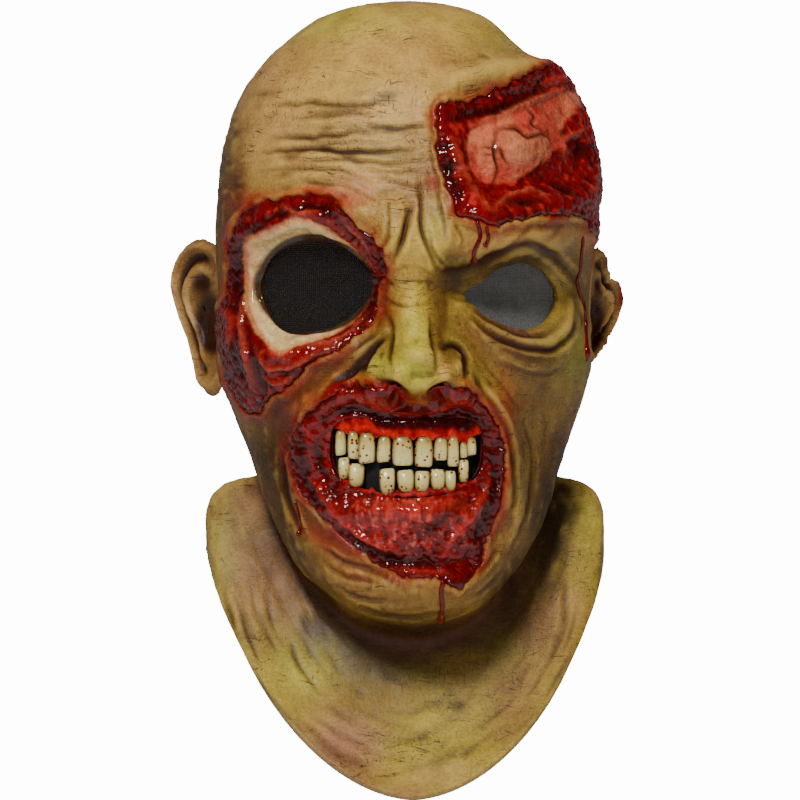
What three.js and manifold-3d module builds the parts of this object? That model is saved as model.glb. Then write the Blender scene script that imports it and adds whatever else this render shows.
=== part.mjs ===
// A full over-the-head horror mask in latex: an undead man's bald head with ears, a torn forehead, a torn
// eye socket and bared teeth, with a neck that flares into a pointed bib. Net panels close the two eye
// openings, and two gum arches with teeth stand behind the mouth opening.
// Millimetres. +X is the viewer's right, the face looks along -Y, +Z is up, and the origin is on the
// inside of the crown, where the wearer's head carries the mask.
import * as THREE from "three";
import { mergeVertices } from "three/addons/utils/BufferGeometryUtils.js";
import Module from "manifold-3d";

const wasm = await Module();
wasm.setup();

// Driving sizes
const WALL = 3;
const SEAT_GAP = 0.35;
const HEAD_HEIGHT = 308;
const HEAD_WIDTH = 189;
const FACE_DEPTH = 104;
const BACK_DEPTH = 112;
const NECK_WIDTH = 134;
const NECK_FRONT = 55;
const NECK_BACK = 75;
const BIB_WIDTH = 199;
const CHEST_DEPTH = 92;
const NAPE_DEPTH = 98;
const BIB_DROP = 82;
const SHOULDER_FALL = 40;
const NAPE_FALL = 64;
const EYE_WIDTH = 56;
const EYE_HEIGHT = 45;
const LID_WIDTH = 49;
const LID_HEIGHT = 32;
const NET_THICKNESS = 1;
const NET_MARGIN = 6;
const MOUTH_WIDTH = 74;
const MOUTH_HEIGHT = 39;
const MOUTH_BOW = 6;
const BITE_DROP = 4.3;
const GUM_THICKNESS = 4;
const GUM_MARGIN = 6;
const TOOTH_HEIGHT = 14;
const TOOTH_STAND = 6;
const TOOTH_ROOT = 2;
const BITE_GAP = 1.5;
const EAR_HEIGHT = 79;
const EAR_WIDTH = 41;
const EAR_THICKNESS = 7;
const LEFT_EAR_TURN = 36;
const RIGHT_EAR_TURN = 27;
const WOUND_WIDTH = 74;
const WOUND_HEIGHT = 70;
const WOUND_DEPTH = 5;
const WOUND_EDGE = 5;
const GORE_WIDTH = 102;
const GORE_HEIGHT = 92;
const GORE_EDGE = 3;
const SOCKET_EDGE = 3;
const LIP_EDGE = 3;

// Sections of the head from the crown down. side, face and nape are how far the ring lies below the crown at
// its sides, front and back, as shares of HEAD_HEIGHT. half is a share of half of HEAD_WIDTH, front of
// FACE_DEPTH and back of BACK_DEPTH. steps is the number of mesh rows down to the next section.
const HEAD_SECTIONS = [
  { side: 0.0, face: 0.0, nape: 0.0, half: 0.0, front: 0.0, back: 0.0, steps: 1 },
  { side: 0.007, face: 0.007, nape: 0.007, half: 0.25, front: 0.23, back: 0.26, steps: 1 },
  { side: 0.029, face: 0.029, nape: 0.029, half: 0.465, front: 0.45, back: 0.52, steps: 2 },
  { side: 0.078, face: 0.078, nape: 0.078, half: 0.68, front: 0.67, back: 0.76, steps: 2 },
  { side: 0.118, face: 0.118, nape: 0.118, half: 0.795, front: 0.79, back: 0.85, steps: 2 },
  { side: 0.159, face: 0.159, nape: 0.159, half: 0.88, front: 0.87, back: 0.91, steps: 4 },
  { side: 0.24, face: 0.24, nape: 0.24, half: 0.965, front: 0.95, back: 0.973, steps: 4 },
  { side: 0.321, face: 0.321, nape: 0.321, half: 0.993, front: 0.99, back: 1.0, steps: 4 },
  { side: 0.393, face: 0.393, nape: 0.393, half: 1.0, front: 1.0, back: 0.99, steps: 4 },
  { side: 0.474, face: 0.474, nape: 0.474, half: 0.985, front: 0.952, back: 0.955, steps: 5 },
  { side: 0.545, face: 0.562, nape: 0.55, half: 0.975, front: 0.962, back: 0.9, steps: 6 },
  { side: 0.607, face: 0.653, nape: 0.615, half: 0.965, front: 0.97, back: 0.84, steps: 5 },
  { side: 0.665, face: 0.753, nape: 0.68, half: 0.91, front: 0.96, back: 0.777, steps: 5 },
  { side: 0.703, face: 0.851, nape: 0.725, half: 0.86, front: 0.952, back: 0.723, steps: 4 },
  { side: 0.732, face: 0.942, nape: 0.755, half: 0.815, front: 0.942, back: 0.69, steps: 2 },
  { side: 0.749, face: 0.99, nape: 0.77, half: 0.775, front: 0.846, back: 0.675, steps: 1 },
  { side: 0.757, face: 1.0, nape: 0.778, half: 0.725, front: 0.69, back: 0.67, steps: 1 },
];

// Sections of the neck and bib. out, chest and nape run from 0 at the neck to 1 at the hem's width and
// depths. side, face and back are how far the ring falls there, as shares of SHOULDER_FALL, BIB_DROP and
// NAPE_FALL. bend and point say how the front hangs to a tip, as in ringHeight.
const BIB_SECTIONS = [
  { out: 0, chest: 0.05, nape: 0, side: 0.02, face: 0.085, back: 0.05, bend: 1.15, point: 0, steps: 2 },
  { out: 0.28, chest: 0, nape: 0.17, side: 0.08, face: 0.23, back: 0.12, bend: 1.2, point: 0, steps: 2 },
  { out: 0.76, chest: 0.19, nape: 0.48, side: 0.21, face: 0.48, back: 0.25, bend: 1.3, point: 0, steps: 2 },
  { out: 0.99, chest: 0.57, nape: 0.78, side: 0.5, face: 0.77, back: 0.6, bend: 1.4, point: 0.03, steps: 2 },
  { out: 1, chest: 1, nape: 1, side: 1, face: 1, back: 1, bend: 1.5, point: 0.06, steps: 0 },
];
const JAW_BEND = 1.15;

// Swellings and dents of the face. x and rx are shares of half of HEAD_WIDTH, z and rz of HEAD_HEIGHT below
// the crown, lift of FACE_DEPTH, and turn is in degrees. under shrinks rz below the middle, for an edge that
// hangs over, and blunt is 2 for a flat top with steep sides. The inside of the wall follows all but those
// that say thin: false.
const FACE_FORMS = [
  { x: -0.45, z: 0.365, rx: 0.4, rz: 0.04, under: 0.8, turn: 4, lift: 0.045 },
  { x: 0.5, z: 0.405, rx: 0.36, rz: 0.06, under: 0.35, turn: 12, lift: 0.12 },
  { x: 0.0, z: 0.41, rx: 0.2, rz: 0.045, under: 0.8, lift: 0.05 },
  { x: -0.49, z: 0.468, rx: 0.35, rz: 0.085, lift: -0.12 },
  { x: 0.51, z: 0.484, rx: 0.33, rz: 0.06, lift: -0.15 },
  { x: 0.0, z: 0.5, rx: 0.12, rz: 0.09, lift: 0.11 },
  { x: 0.01, z: 0.575, rx: 0.17, rz: 0.07, under: 0.5, lift: 0.17 },
  { x: 0.02, z: 0.608, rx: 0.15, rz: 0.045, under: 0.85, lift: 0.16, blunt: 2, thin: false },
  { x: -0.15, z: 0.62, rx: 0.1, rz: 0.035, under: 0.8, lift: 0.13, blunt: 2, thin: false },
  { x: 0.19, z: 0.62, rx: 0.1, rz: 0.035, under: 0.8, lift: 0.13, blunt: 2, thin: false },
  { x: -0.7, z: 0.568, rx: 0.24, rz: 0.05, lift: 0.06 },
  { x: 0.7, z: 0.568, rx: 0.24, rz: 0.05, lift: 0.06 },
  { x: -0.68, z: 0.7, rx: 0.15, rz: 0.078, lift: -0.05 },
  { x: 0.66, z: 0.7, rx: 0.15, rz: 0.078, lift: -0.06 },
  { x: 0.0, z: 0.76, rx: 0.42, rz: 0.12, lift: 0.05 },
  { x: 0.0, z: 0.835, rx: 0.34, rz: 0.04, lift: 0.03, thin: false },
  { x: 0.04, z: 0.95, rx: 0.3, rz: 0.045, under: 0.8, lift: 0.07 },
  { x: 0.5, z: 0.245, rx: 0.2, rz: 0.045, turn: 20, lift: 0.05, thin: false },
  { x: 0.66, z: 0.06, rx: 0.2, rz: 0.045, turn: -35, lift: -0.055 },
];

// Eye openings, as shares of their half width and half height, from the corner beside the nose round the top.
const SOCKET_OUTLINE = [
  [1.0, 0.12], [0.72, 0.62], [0.28, 0.93], [-0.25, 0.95], [-0.75, 0.7], [-1.0, 0.1], [-0.86, -0.55],
  [-0.55, -0.95], [-0.05, -0.96], [0.45, -0.78], [0.82, -0.38],
];
const LID_OUTLINE = [
  [-1.0, 0.05], [-0.62, 0.42], [-0.2, 0.86], [0.25, 0.98], [0.7, 0.7], [1.0, 0.1], [0.86, -0.5],
  [0.5, -0.92], [0.05, -1.0], [-0.45, -0.7], [-0.8, -0.3],
];
const SOCKET = { x: -0.49, z: 0.469, width: EYE_WIDTH, height: EYE_HEIGHT, outline: SOCKET_OUTLINE };
const LID = { x: 0.515, z: 0.482, width: LID_WIDTH, height: LID_HEIGHT, outline: LID_OUTLINE };
const MOUTH = { x: -0.035, z: 0.728, width: MOUTH_WIDTH, height: MOUTH_HEIGHT };

// Torn edges that stand up round a floor, on squared ovals. x, z and turn as above; rim is the height of the
// edge and floor the depth inside it, in millimetres; band is the edge's width as a share of the outline.
const WOUNDS = [
  {
    x: 0.56, z: 0.235, width: WOUND_WIDTH, height: WOUND_HEIGHT, turn: 14,
    rim: WOUND_EDGE, floor: WOUND_DEPTH, band: 0.18,
  },
  {
    x: -0.5, z: 0.468, width: EYE_WIDTH * 1.4, height: EYE_HEIGHT * 1.45, turn: 8,
    rim: SOCKET_EDGE, band: 0.18,
  },
  { x: -0.05, z: 0.78, width: GORE_WIDTH, height: GORE_HEIGHT, rim: GORE_EDGE, band: 0.12 },
  {
    x: MOUTH.x, z: MOUTH.z, width: MOUTH_WIDTH * 1.22, height: MOUTH_HEIGHT * 1.5,
    rim: LIP_EDGE, band: 0.16,
  },
];

// Folds and ridges that run along the face. Each goes through its points, given as shares of half of
// HEAD_WIDTH and of HEAD_HEIGHT below the crown. width is a share of half of HEAD_WIDTH, lift of FACE_DEPTH.
const FOLDS = [
  { points: [[0.1, 0.44], [0.16, 0.39], [0.14, 0.345]], width: 0.055, lift: 0.035 },
  { points: [[-0.12, 0.45], [-0.14, 0.4], [-0.1, 0.35]], width: 0.055, lift: 0.03 },
  { points: [[0.24, 0.5], [0.48, 0.565], [0.75, 0.555], [0.88, 0.5]], width: 0.06, lift: 0.03 },
  { points: [[0.24, 0.59], [0.4, 0.66], [0.48, 0.74], [0.5, 0.82]], width: 0.07, lift: 0.035 },
  { points: [[-0.24, 0.59], [-0.42, 0.64], [-0.55, 0.73]], width: 0.07, lift: 0.035 },
  { points: [[-0.9, 0.5], [-0.78, 0.6], [-0.62, 0.66]], width: 0.1, lift: 0.03 },
  { points: [[-0.2, 0.905], [0.02, 0.915], [0.26, 0.9]], width: 0.06, lift: -0.03 },
];

const CROWN_Z = WALL;
const HALF_HEAD = HEAD_WIDTH / 2;
const JAW_Z = CROWN_Z - HEAD_SECTIONS.at(-1).side * HEAD_HEIGHT;
const CHIN_Z = CROWN_Z - HEAD_HEIGHT;
const EPSILON = 1e-3;
// The cosines of the angles where the face's forms start to show, behind the ears, and where they are whole.
const FACE_END = -0.4;
const FACE_START = 0.15;
// Where a search along the face starts, as a row position, and how many steps it takes.
const MIDDLE_ROW = 10;
const SEARCH_STEPS = 12;
// Exponents below 1 that make a round outline squarer.
const MOUTH_ROUNDNESS = 0.6;
const TOOTH_ROUNDNESS = 0.7;

// Every section as real sizes: half width, front and back depth, and the ring's height at side, face and
// nape.
function sectionTable() {
  const rows = HEAD_SECTIONS.map((s) => ({
    half: s.half * HALF_HEAD,
    front: s.front * FACE_DEPTH,
    back: s.back * BACK_DEPTH,
    side: CROWN_Z - s.side * HEAD_HEIGHT,
    face: CROWN_Z - s.face * HEAD_HEIGHT,
    nape: CROWN_Z - s.nape * HEAD_HEIGHT,
    bend: JAW_BEND,
    point: 0,
    steps: s.steps,
  }));
  for (const s of BIB_SECTIONS) {
    rows.push({
      half: THREE.MathUtils.lerp(NECK_WIDTH / 2, BIB_WIDTH / 2, s.out),
      front: THREE.MathUtils.lerp(NECK_FRONT, CHEST_DEPTH, s.chest),
      back: THREE.MathUtils.lerp(NECK_BACK, NAPE_DEPTH, s.nape),
      side: JAW_Z - s.side * SHOULDER_FALL,
      face: CHIN_Z - s.face * BIB_DROP,
      nape: JAW_Z - s.back * NAPE_FALL,
      bend: s.bend,
      point: s.point,
      steps: s.steps,
    });
  }
  return rows;
}

const SECTIONS = sectionTable();

// The value of one column at row position t, on a smooth curve through the sections. Past the crown the
// widths and depths mirror through the pole, so that the dome closes round.
function column(name, t) {
  const last = SECTIONS.length - 1;
  const i = Math.min(Math.floor(t), last - 1);
  const mirrored = name === "half" || name === "front" || name === "back";
  const at = (k) => {
    if (k < 0) return mirrored ? -SECTIONS[-k][name] : SECTIONS[-k][name];
    if (k > last) return 2 * SECTIONS[last][name] - SECTIONS[2 * last - k][name];
    return SECTIONS[k][name];
  };
  const [a, b, c, d] = [at(i - 1), at(i), at(i + 1), at(i + 2)];
  const u = t - i;
  return b + 0.5 * u * (c - a + u * (2 * a - 5 * b + 4 * c - d + u * (3 * (b - c) + d - a)));
}

// The share of the way from a ring's height at its side to that at its front or back. The bend keeps it high
// at the sides, and the point draws it down to a tip in the middle.
function ringHeight(c, s, bend, point) {
  return (1 - point) * Math.abs(c) ** bend + point * (1 - Math.abs(s));
}

// The plain head and neck without a face: an ellipse at each row, whose front and back hang lower.
function plainPoint(angle, t) {
  const c = Math.cos(angle);
  const s = Math.sin(angle);
  const depth = column(c > 0 ? "front" : "back", t);
  const side = column("side", t);
  const end = column(c > 0 ? "face" : "nape", t);
  const share = c > 0
    ? ringHeight(c, s, column("bend", t), column("point", t))
    : ringHeight(c, s, JAW_BEND, 0);
  return new THREE.Vector3(column("half", t) * s, -depth * c, side + (end - side) * share);
}

// The outward normal of a surface given as a function of angle and row position.
function normalOf(surface, angle, t) {
  const end = SECTIONS.length - 1;
  const t0 = Math.max(t - EPSILON, EPSILON);
  const t1 = Math.min(Math.max(t, EPSILON) + EPSILON, end);
  const across = surface(angle + EPSILON, t).sub(surface(angle - EPSILON, t));
  const down = surface(angle, t1).sub(surface(angle, t0));
  return t < EPSILON ? new THREE.Vector3(0, 0, 1) : down.cross(across).normalize();
}

// Coordinates of a point in a turned frame centred at x, z, in millimetres.
function turned(point, x, z, turn) {
  const a = THREE.MathUtils.degToRad(turn);
  const dx = point.x - x * HALF_HEAD;
  const dz = point.z - (CROWN_Z - z * HEAD_HEIGHT);
  return [dx * Math.cos(a) + dz * Math.sin(a), dz * Math.cos(a) - dx * Math.sin(a)];
}

// The distance of a point of the face from a fold, in x and z.
function foldDistance(point, fold) {
  const knots = fold.points.map(([x, z]) => [x * HALF_HEAD, CROWN_Z - z * HEAD_HEIGHT]);
  let nearest = Infinity;
  for (let i = 0; i + 1 < knots.length; i += 1) {
    const [dx, dz] = [knots[i + 1][0] - knots[i][0], knots[i + 1][1] - knots[i][1]];
    const [px, pz] = [point.x - knots[i][0], point.z - knots[i][1]];
    const along = THREE.MathUtils.clamp((px * dx + pz * dz) / (dx * dx + dz * dz), 0, 1);
    nearest = Math.min(nearest, Math.hypot(px - along * dx, pz - along * dz));
  }
  return nearest;
}

// How far the face stands out at a point of the plain head. inner leaves out what the inside doesn't follow.
function faceLift(point, inner) {
  let lift = 0;
  for (const { x, z, rx, rz, lift: share, under = 1, turn = 0, blunt = 1, thin = true } of FACE_FORMS) {
    if (inner && !thin) continue;
    const [u, v] = turned(point, x, z, turn);
    const height = rz * HEAD_HEIGHT * (v < 0 ? under : 1);
    const reach = (u / (rx * HALF_HEAD)) ** 2 + (v / height) ** 2;
    lift += share * FACE_DEPTH * Math.exp(-(reach ** blunt));
  }
  for (const { x, z, width, height, turn = 0, rim, floor = 0, band } of WOUNDS) {
    const [u, v] = turned(point, x, z, turn);
    const edge = ((2 * u) / width) ** 4 + ((2 * v) / height) ** 4;
    const out = edge ** 0.25 - 1;
    lift -= floor * THREE.MathUtils.smoothstep(-out, 0, 2 * band);
    if (!inner) lift += rim * Math.exp(-((out / band) ** 2));
  }
  if (inner) return lift;
  for (const fold of FOLDS) {
    const share = foldDistance(point, fold) / (fold.width * HALF_HEAD);
    lift += fold.lift * FACE_DEPTH * Math.exp(-share * share);
  }
  return lift;
}

// The head with its face. The lift points half forward and half along the plain head's normal, and fades out
// towards the ears.
function headPoint(angle, t, inner) {
  const p = plainPoint(angle, t);
  const fade = THREE.MathUtils.smoothstep(Math.cos(angle), FACE_END, FACE_START);
  if (fade === 0 || t < EPSILON) return p;
  const way = normalOf(plainPoint, angle, t).add(new THREE.Vector3(0, -1, 0)).normalize();
  return p.addScaledVector(way, fade * faceLift(plainPoint(angle, t), inner));
}

const outside = (angle, t) => headPoint(angle, t, false);
const insideForm = (angle, t) => headPoint(angle, t, true);

// A point of the inside, at a depth below the surface that the inside follows.
function insidePoint(angle, t, depth) {
  return insideForm(angle, t).addScaledVector(normalOf(insideForm, angle, t), -depth);
}

// Mesh columns round the head, closest together at the face, and mesh rows from the crown to the hem.
const COLUMNS = 44;
const FACE_CROWDING = 0.74;
const ANGLES = Array.from({ length: COLUMNS }, (_, i) => {
  const turn = (2 * Math.PI * i) / COLUMNS;
  return turn - FACE_CROWDING * Math.sin(turn);
});
const ROWS = SECTIONS.flatMap((s, i) => Array.from({ length: s.steps }, (_, k) => i + k / s.steps));
ROWS.push(SECTIONS.length - 1);
const INNER_ROWS = ROWS.filter((_, i) => (ROWS.length - 1 - i) % 2 === 0 && i > 0);

// A closed solid from a BufferGeometry.
function solid(geometry) {
  const bare = geometry.index ? geometry.toNonIndexed() : geometry.clone();
  bare.deleteAttribute("normal");
  bare.deleteAttribute("uv");
  const merged = mergeVertices(bare, EPSILON);
  return new wasm.Manifold(
    new wasm.Mesh({
      numProp: 3,
      vertProperties: merged.attributes.position.array,
      triVerts: new Uint32Array(merged.index.array),
    }),
  );
}

// A BufferGeometry from a solid.
function geometryOf(shape) {
  const mesh = shape.getMesh();
  return new THREE.BufferGeometry()
    .setAttribute("position", new THREE.BufferAttribute(mesh.vertProperties, 3))
    .setIndex(new THREE.BufferAttribute(mesh.triVerts, 1));
}

// A solid from rings of points that run round it, closed at both ends by a point.
function ringSolid(first, rings, last) {
  const points = [first, ...rings.flat(), last];
  const n = rings[0].length;
  const faces = [];
  for (let c = 0; c < n; c += 1) {
    const next = (c + 1) % n;
    faces.push(0, 1 + c, 1 + next);
    for (let r = 0; r + 1 < rings.length; r += 1) {
      const [a, b] = [1 + r * n, 1 + (r + 1) * n];
      faces.push(a + c, b + c, b + next, a + c, b + next, a + next);
    }
    const end = 1 + (rings.length - 1) * n;
    faces.push(end + c, points.length - 1, end + next);
  }
  const geometry = new THREE.BufferGeometry().setFromPoints(points).setIndex(faces);
  return solid(geometry);
}

// The plain wall of the head: the outside from crown to hem, then the inside back up to the crown.
function headWall() {
  const down = ROWS.slice(1).map((t) => ANGLES.map((a) => outside(a, t)));
  const up = [...INNER_ROWS].reverse().map((t) => ANGLES.map((a) => insidePoint(a, t, WALL)));
  return ringSolid(outside(0, 0), [...down, ...up], insidePoint(0, 0, WALL));
}

// The hollow as a solid, to trim what is joined on from outside.
function hollow() {
  const rings = INNER_ROWS.map((t) => ANGLES.map((a) => insidePoint(a, t, WALL)));
  return ringSolid(insidePoint(0, 0, WALL), rings, new THREE.Vector3(0, 0, JAW_Z));
}

const OUTLINE_STEPS = 24;

// The closed curve of an eye opening, grown by a margin all round, as a three.js shape in x and z.
function eyeShape(eye, margin) {
  const knots = eye.outline.map(([u, v]) => new THREE.Vector2(
    eye.x * HALF_HEAD + u * (eye.width / 2 + margin),
    CROWN_Z - eye.z * HEAD_HEIGHT + v * (eye.height / 2 + margin),
  ));
  const loop = new THREE.CatmullRomCurve3(knots.map((k) => new THREE.Vector3(k.x, k.y, 0)), true);
  const points = loop.getPoints(OUTLINE_STEPS).slice(0, -1);
  return new THREE.Shape(points.map((p) => new THREE.Vector2(p.x, p.y)));
}

// The mouth opening: a rounded oblong whose middle hangs lower than its corners. It runs between two heights,
// given as shares of the half height.
function mouthShape(margin, top, bottom) {
  const half = MOUTH.width / 2 + margin;
  const rise = MOUTH.height / 2 + margin;
  const centre = CROWN_Z - MOUTH.z * HEAD_HEIGHT;
  const points = Array.from({ length: OUTLINE_STEPS }, (_, i) => {
    const a = (2 * Math.PI * i) / OUTLINE_STEPS;
    const u = Math.sign(Math.cos(a)) * Math.abs(Math.cos(a)) ** MOUTH_ROUNDNESS;
    const v = Math.sign(Math.sin(a)) * Math.abs(Math.sin(a)) ** MOUTH_ROUNDNESS;
    const level = THREE.MathUtils.clamp(v * rise, bottom, top);
    const share = (2 * u * half) / MOUTH.width;
    const sag = MOUTH_BOW * (0.5 - share * share);
    return new THREE.Vector2(MOUTH.x * HALF_HEAD + u * half, centre + level - sag);
  });
  return new THREE.Shape(points);
}

// A prism through the front of the face from a shape in x and z.
function facePrism(shape) {
  const prism = new THREE.ExtrudeGeometry(shape, { depth: 2 * FACE_DEPTH, bevelEnabled: false, steps: 1 });
  prism.rotateX(Math.PI / 2);
  prism.translate(0, -NECK_FRONT / 2, 0);
  return solid(prism);
}

// A panel that follows the inside of the wall between two depths below the form. It uses the wall's own mesh
// rows, and its columns or every second one.
function panel(shape, near, far, stride) {
  const box = new THREE.Box2().setFromPoints(shape.getPoints());
  const cells = (list, test) => {
    const hits = list.map((value, i) => (test(value) ? i : -1)).filter((i) => i >= 0);
    return [Math.max(hits[0] - 1, 0), Math.min(hits.at(-1) + 1, list.length - 1)];
  };
  const front = [...ANGLES.slice(COLUMNS / 2).map((a) => a - 2 * Math.PI), ...ANGLES.slice(0, COLUMNS / 2)];
  const middle = (box.min.x + box.max.x) / 2;
  const centreAngle = Math.asin(middle / HALF_HEAD);
  const inX = (a) => {
    const x = insideForm(a, MIDDLE_ROW).x;
    return Math.abs(a) < Math.PI / 2 && x > box.min.x - 2 * WALL && x < box.max.x + 2 * WALL;
  };
  const inZ = (t) => {
    const z = insideForm(centreAngle, t).z;
    return z > box.min.y - 2 * WALL && z < box.max.y + 2 * WALL;
  };
  const [c0, c1] = cells(front, inX);
  const [r0, r1] = cells(INNER_ROWS, inZ);
  const across = front.slice(c0 - (c0 % stride), c1 + stride).filter((_, i) => i % stride === 0);
  const down = INNER_ROWS.slice(r0, r1 + 1);
  const sheet = (depth) => down.map((t) => across.map((a) => insidePoint(a, t, depth)));
  return slab(sheet(near), sheet(far)).intersect(facePrism(shape));
}

// A closed plate between two sheets of points with the same rows and columns, the first one in front.
function slab(face, back) {
  const [rows, cols] = [face.length, face[0].length];
  const points = [...face.flat(), ...back.flat()];
  const at = (side, r, c) => side * rows * cols + r * cols + c;
  const faces = [];
  const quad = (a, b, c, d) => faces.push(a, b, c, a, c, d);
  for (let r = 0; r + 1 < rows; r += 1) {
    for (let c = 0; c + 1 < cols; c += 1) {
      quad(at(0, r + 1, c), at(0, r + 1, c + 1), at(0, r, c + 1), at(0, r, c));
      quad(at(1, r + 1, c), at(1, r, c), at(1, r, c + 1), at(1, r + 1, c + 1));
    }
    quad(at(0, r, 0), at(1, r, 0), at(1, r + 1, 0), at(0, r + 1, 0));
    quad(at(0, r, cols - 1), at(0, r + 1, cols - 1), at(1, r + 1, cols - 1), at(1, r, cols - 1));
  }
  for (let c = 0; c + 1 < cols; c += 1) {
    quad(at(0, 0, c), at(0, 0, c + 1), at(1, 0, c + 1), at(1, 0, c));
    quad(at(0, rows - 1, c), at(1, rows - 1, c), at(1, rows - 1, c + 1), at(0, rows - 1, c + 1));
  }
  return solid(new THREE.BufferGeometry().setFromPoints(points).setIndex(faces));
}

// Teeth from the viewer's left. x is a share of half of MOUTH_WIDTH from the mouth's middle, neck how far its
// gum line lies above or below the bite, wide and tall its crown's size, all three as shares of TOOTH_HEIGHT.
const UPPER_TEETH = [
  { x: -0.86, neck: 0.96, wide: 0.36, tall: 0.85 },
  { x: -0.7, neck: 1.04, wide: 0.37, tall: 0.94 },
  { x: -0.52, neck: 1.08, wide: 0.54, tall: 1.03 },
  { x: -0.3, neck: 1.04, wide: 0.44, tall: 0.88 },
  { x: -0.07, neck: 1.07, wide: 0.66, tall: 0.99 },
  { x: 0.21, neck: 1.04, wide: 0.57, tall: 1.02 },
  { x: 0.43, neck: 0.96, wide: 0.44, tall: 0.78 },
  { x: 0.59, neck: 0.93, wide: 0.38, tall: 1.03 },
  { x: 0.72, neck: 0.65, wide: 0.24, tall: 0.53 },
  { x: 0.83, neck: 0.75, wide: 0.33, tall: 0.62 },
];
const LOWER_TEETH = [
  { x: -0.82, neck: -0.66, wide: 0.37, tall: 0.72 },
  { x: -0.66, neck: -0.82, wide: 0.5, tall: 0.77 },
  { x: -0.26, neck: -0.92, wide: 0.5, tall: 0.87 },
  { x: -0.02, neck: -0.81, wide: 0.53, tall: 0.74 },
  { x: 0.18, neck: -0.81, wide: 0.47, tall: 0.69 },
  { x: 0.39, neck: -0.8, wide: 0.46, tall: 0.69 },
  { x: 0.56, neck: -0.9, wide: 0.35, tall: 0.66 },
  { x: 0.73, neck: -0.72, wide: 0.33, tall: 0.76 },
];

// Where the two rows of teeth meet: a line below the middle of the mouth opening that hangs in the middle.
function biteAt(share) {
  return CROWN_Z - MOUTH.z * HEAD_HEIGHT - BITE_DROP - MOUTH_BOW * (0.5 - share * share);
}

// The depth of the face of a gum arch at x and z, found by stepping along the inside form.
function archDepth(x, z) {
  let angle = Math.asin(x / HALF_HEAD);
  let t = MIDDLE_ROW;
  for (let i = 0; i < SEARCH_STEPS; i += 1) {
    const p = insidePoint(angle, t, WALL + SEAT_GAP);
    const across = insidePoint(angle + EPSILON, t, WALL + SEAT_GAP).sub(p).divideScalar(EPSILON);
    const down = insidePoint(angle, t + EPSILON, WALL + SEAT_GAP).sub(p).divideScalar(EPSILON);
    angle += (x - p.x) / across.x;
    t += (z - p.z) / down.z;
  }
  return insidePoint(angle, t, WALL + SEAT_GAP).y;
}

// One tooth: rings of a rounded oblong, narrow at the gum, full at the belly and thin at the biting edge.
const TOOTH_RINGS = [
  { along: 0.0, wide: 0.78, thick: 0.85 },
  { along: 0.7, wide: 1.0, thick: 0.9 },
  { along: 1.0, wide: 0.86, thick: 0.45 },
];
const TOOTH_SIDES = 6;

function tooth(row) {
  const sign = Math.sign(row.neck);
  const [wide, tall] = [row.wide * TOOTH_HEIGHT, row.tall * TOOTH_HEIGHT];
  const x = (MOUTH.x * HALF_HEAD) + (row.x * MOUTH.width) / 2;
  const gumLine = biteAt(row.x) + row.neck * TOOTH_HEIGHT;
  const y = archDepth(x, gumLine);
  const depth = (TOOTH_STAND + TOOTH_ROOT) / 2;
  const rings = TOOTH_RINGS.map((ring) =>
    Array.from({ length: TOOTH_SIDES }, (_, i) => {
      const a = (sign * 2 * Math.PI * i) / TOOTH_SIDES;
      const u = Math.sign(Math.cos(a)) * Math.abs(Math.cos(a)) ** TOOTH_ROUNDNESS;
      const v = Math.sign(Math.sin(a)) * Math.abs(Math.sin(a)) ** TOOTH_ROUNDNESS;
      return new THREE.Vector3(
        x + (u * ring.wide * wide) / 2,
        y + TOOTH_ROOT - depth + v * ring.thick * depth,
        gumLine - sign * ring.along * tall,
      );
    }),
  );
  const end = (ring, z) => new THREE.Vector3(x, ring[0].y / 2 + ring[TOOTH_SIDES / 2].y / 2, z);
  return ringSolid(end(rings[0], gumLine), rings, end(rings.at(-1), gumLine - sign * tall));
}

// A gum arch that follows the inside of the wall behind half of the mouth opening, with its teeth.
function gumArch(teeth, top, bottom) {
  const near = WALL + SEAT_GAP;
  const arch = panel(mouthShape(GUM_MARGIN, top, bottom), near, near + GUM_THICKNESS, 2);
  const clear = facePrism(mouthShape(-2 * SEAT_GAP, MOUTH.height, -MOUTH.height));
  return teeth.reduce((whole, row) => whole.add(tooth(row).intersect(clear)), arch);
}

// Outlines of the ears: shares of EAR_WIDTH back from the root and of EAR_HEIGHT above the middle, from the
// rear edge over the top. The right one is torn away at its top and its lobe.
const LEFT_EAR_OUTLINE = [
  [1.0, 0.23], [0.9, 0.38], [0.68, 0.48], [0.35, 0.5], [0.06, 0.42], [-0.08, 0.2], [-0.1, -0.1],
  [-0.06, -0.36], [0.12, -0.49], [0.36, -0.46], [0.5, -0.31], [0.64, -0.15], [0.84, 0.03],
];
const RIGHT_EAR_OUTLINE = [
  [0.98, 0.1], [0.92, 0.23], [0.64, 0.27], [0.5, 0.36], [0.34, 0.45], [0.06, 0.4], [-0.08, 0.2],
  [-0.1, -0.05], [-0.06, -0.22], [0.14, -0.28], [0.38, -0.22], [0.6, -0.12], [0.82, 0.0],
];
const EAR_MIDDLE = [0.42, 0.06];

// Rings of an ear from its middle out. out is a share of the outline, front and back how far the skin stands
// before and behind the ear's plane, as shares of EAR_THICKNESS.
const EAR_RINGS = [
  { out: 0.3, front: -0.35, back: 0.5 },
  { out: 0.6, front: -0.05, back: 0.55 },
  { out: 0.75, front: 0.25, back: 0.5 },
  { out: 0.93, front: 0.55, back: 0.35 },
];
const EAR_EDGE_LIFT = 0.1;
const EAR_SIDES = 16;
const EAR_Z = 0.513;

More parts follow.
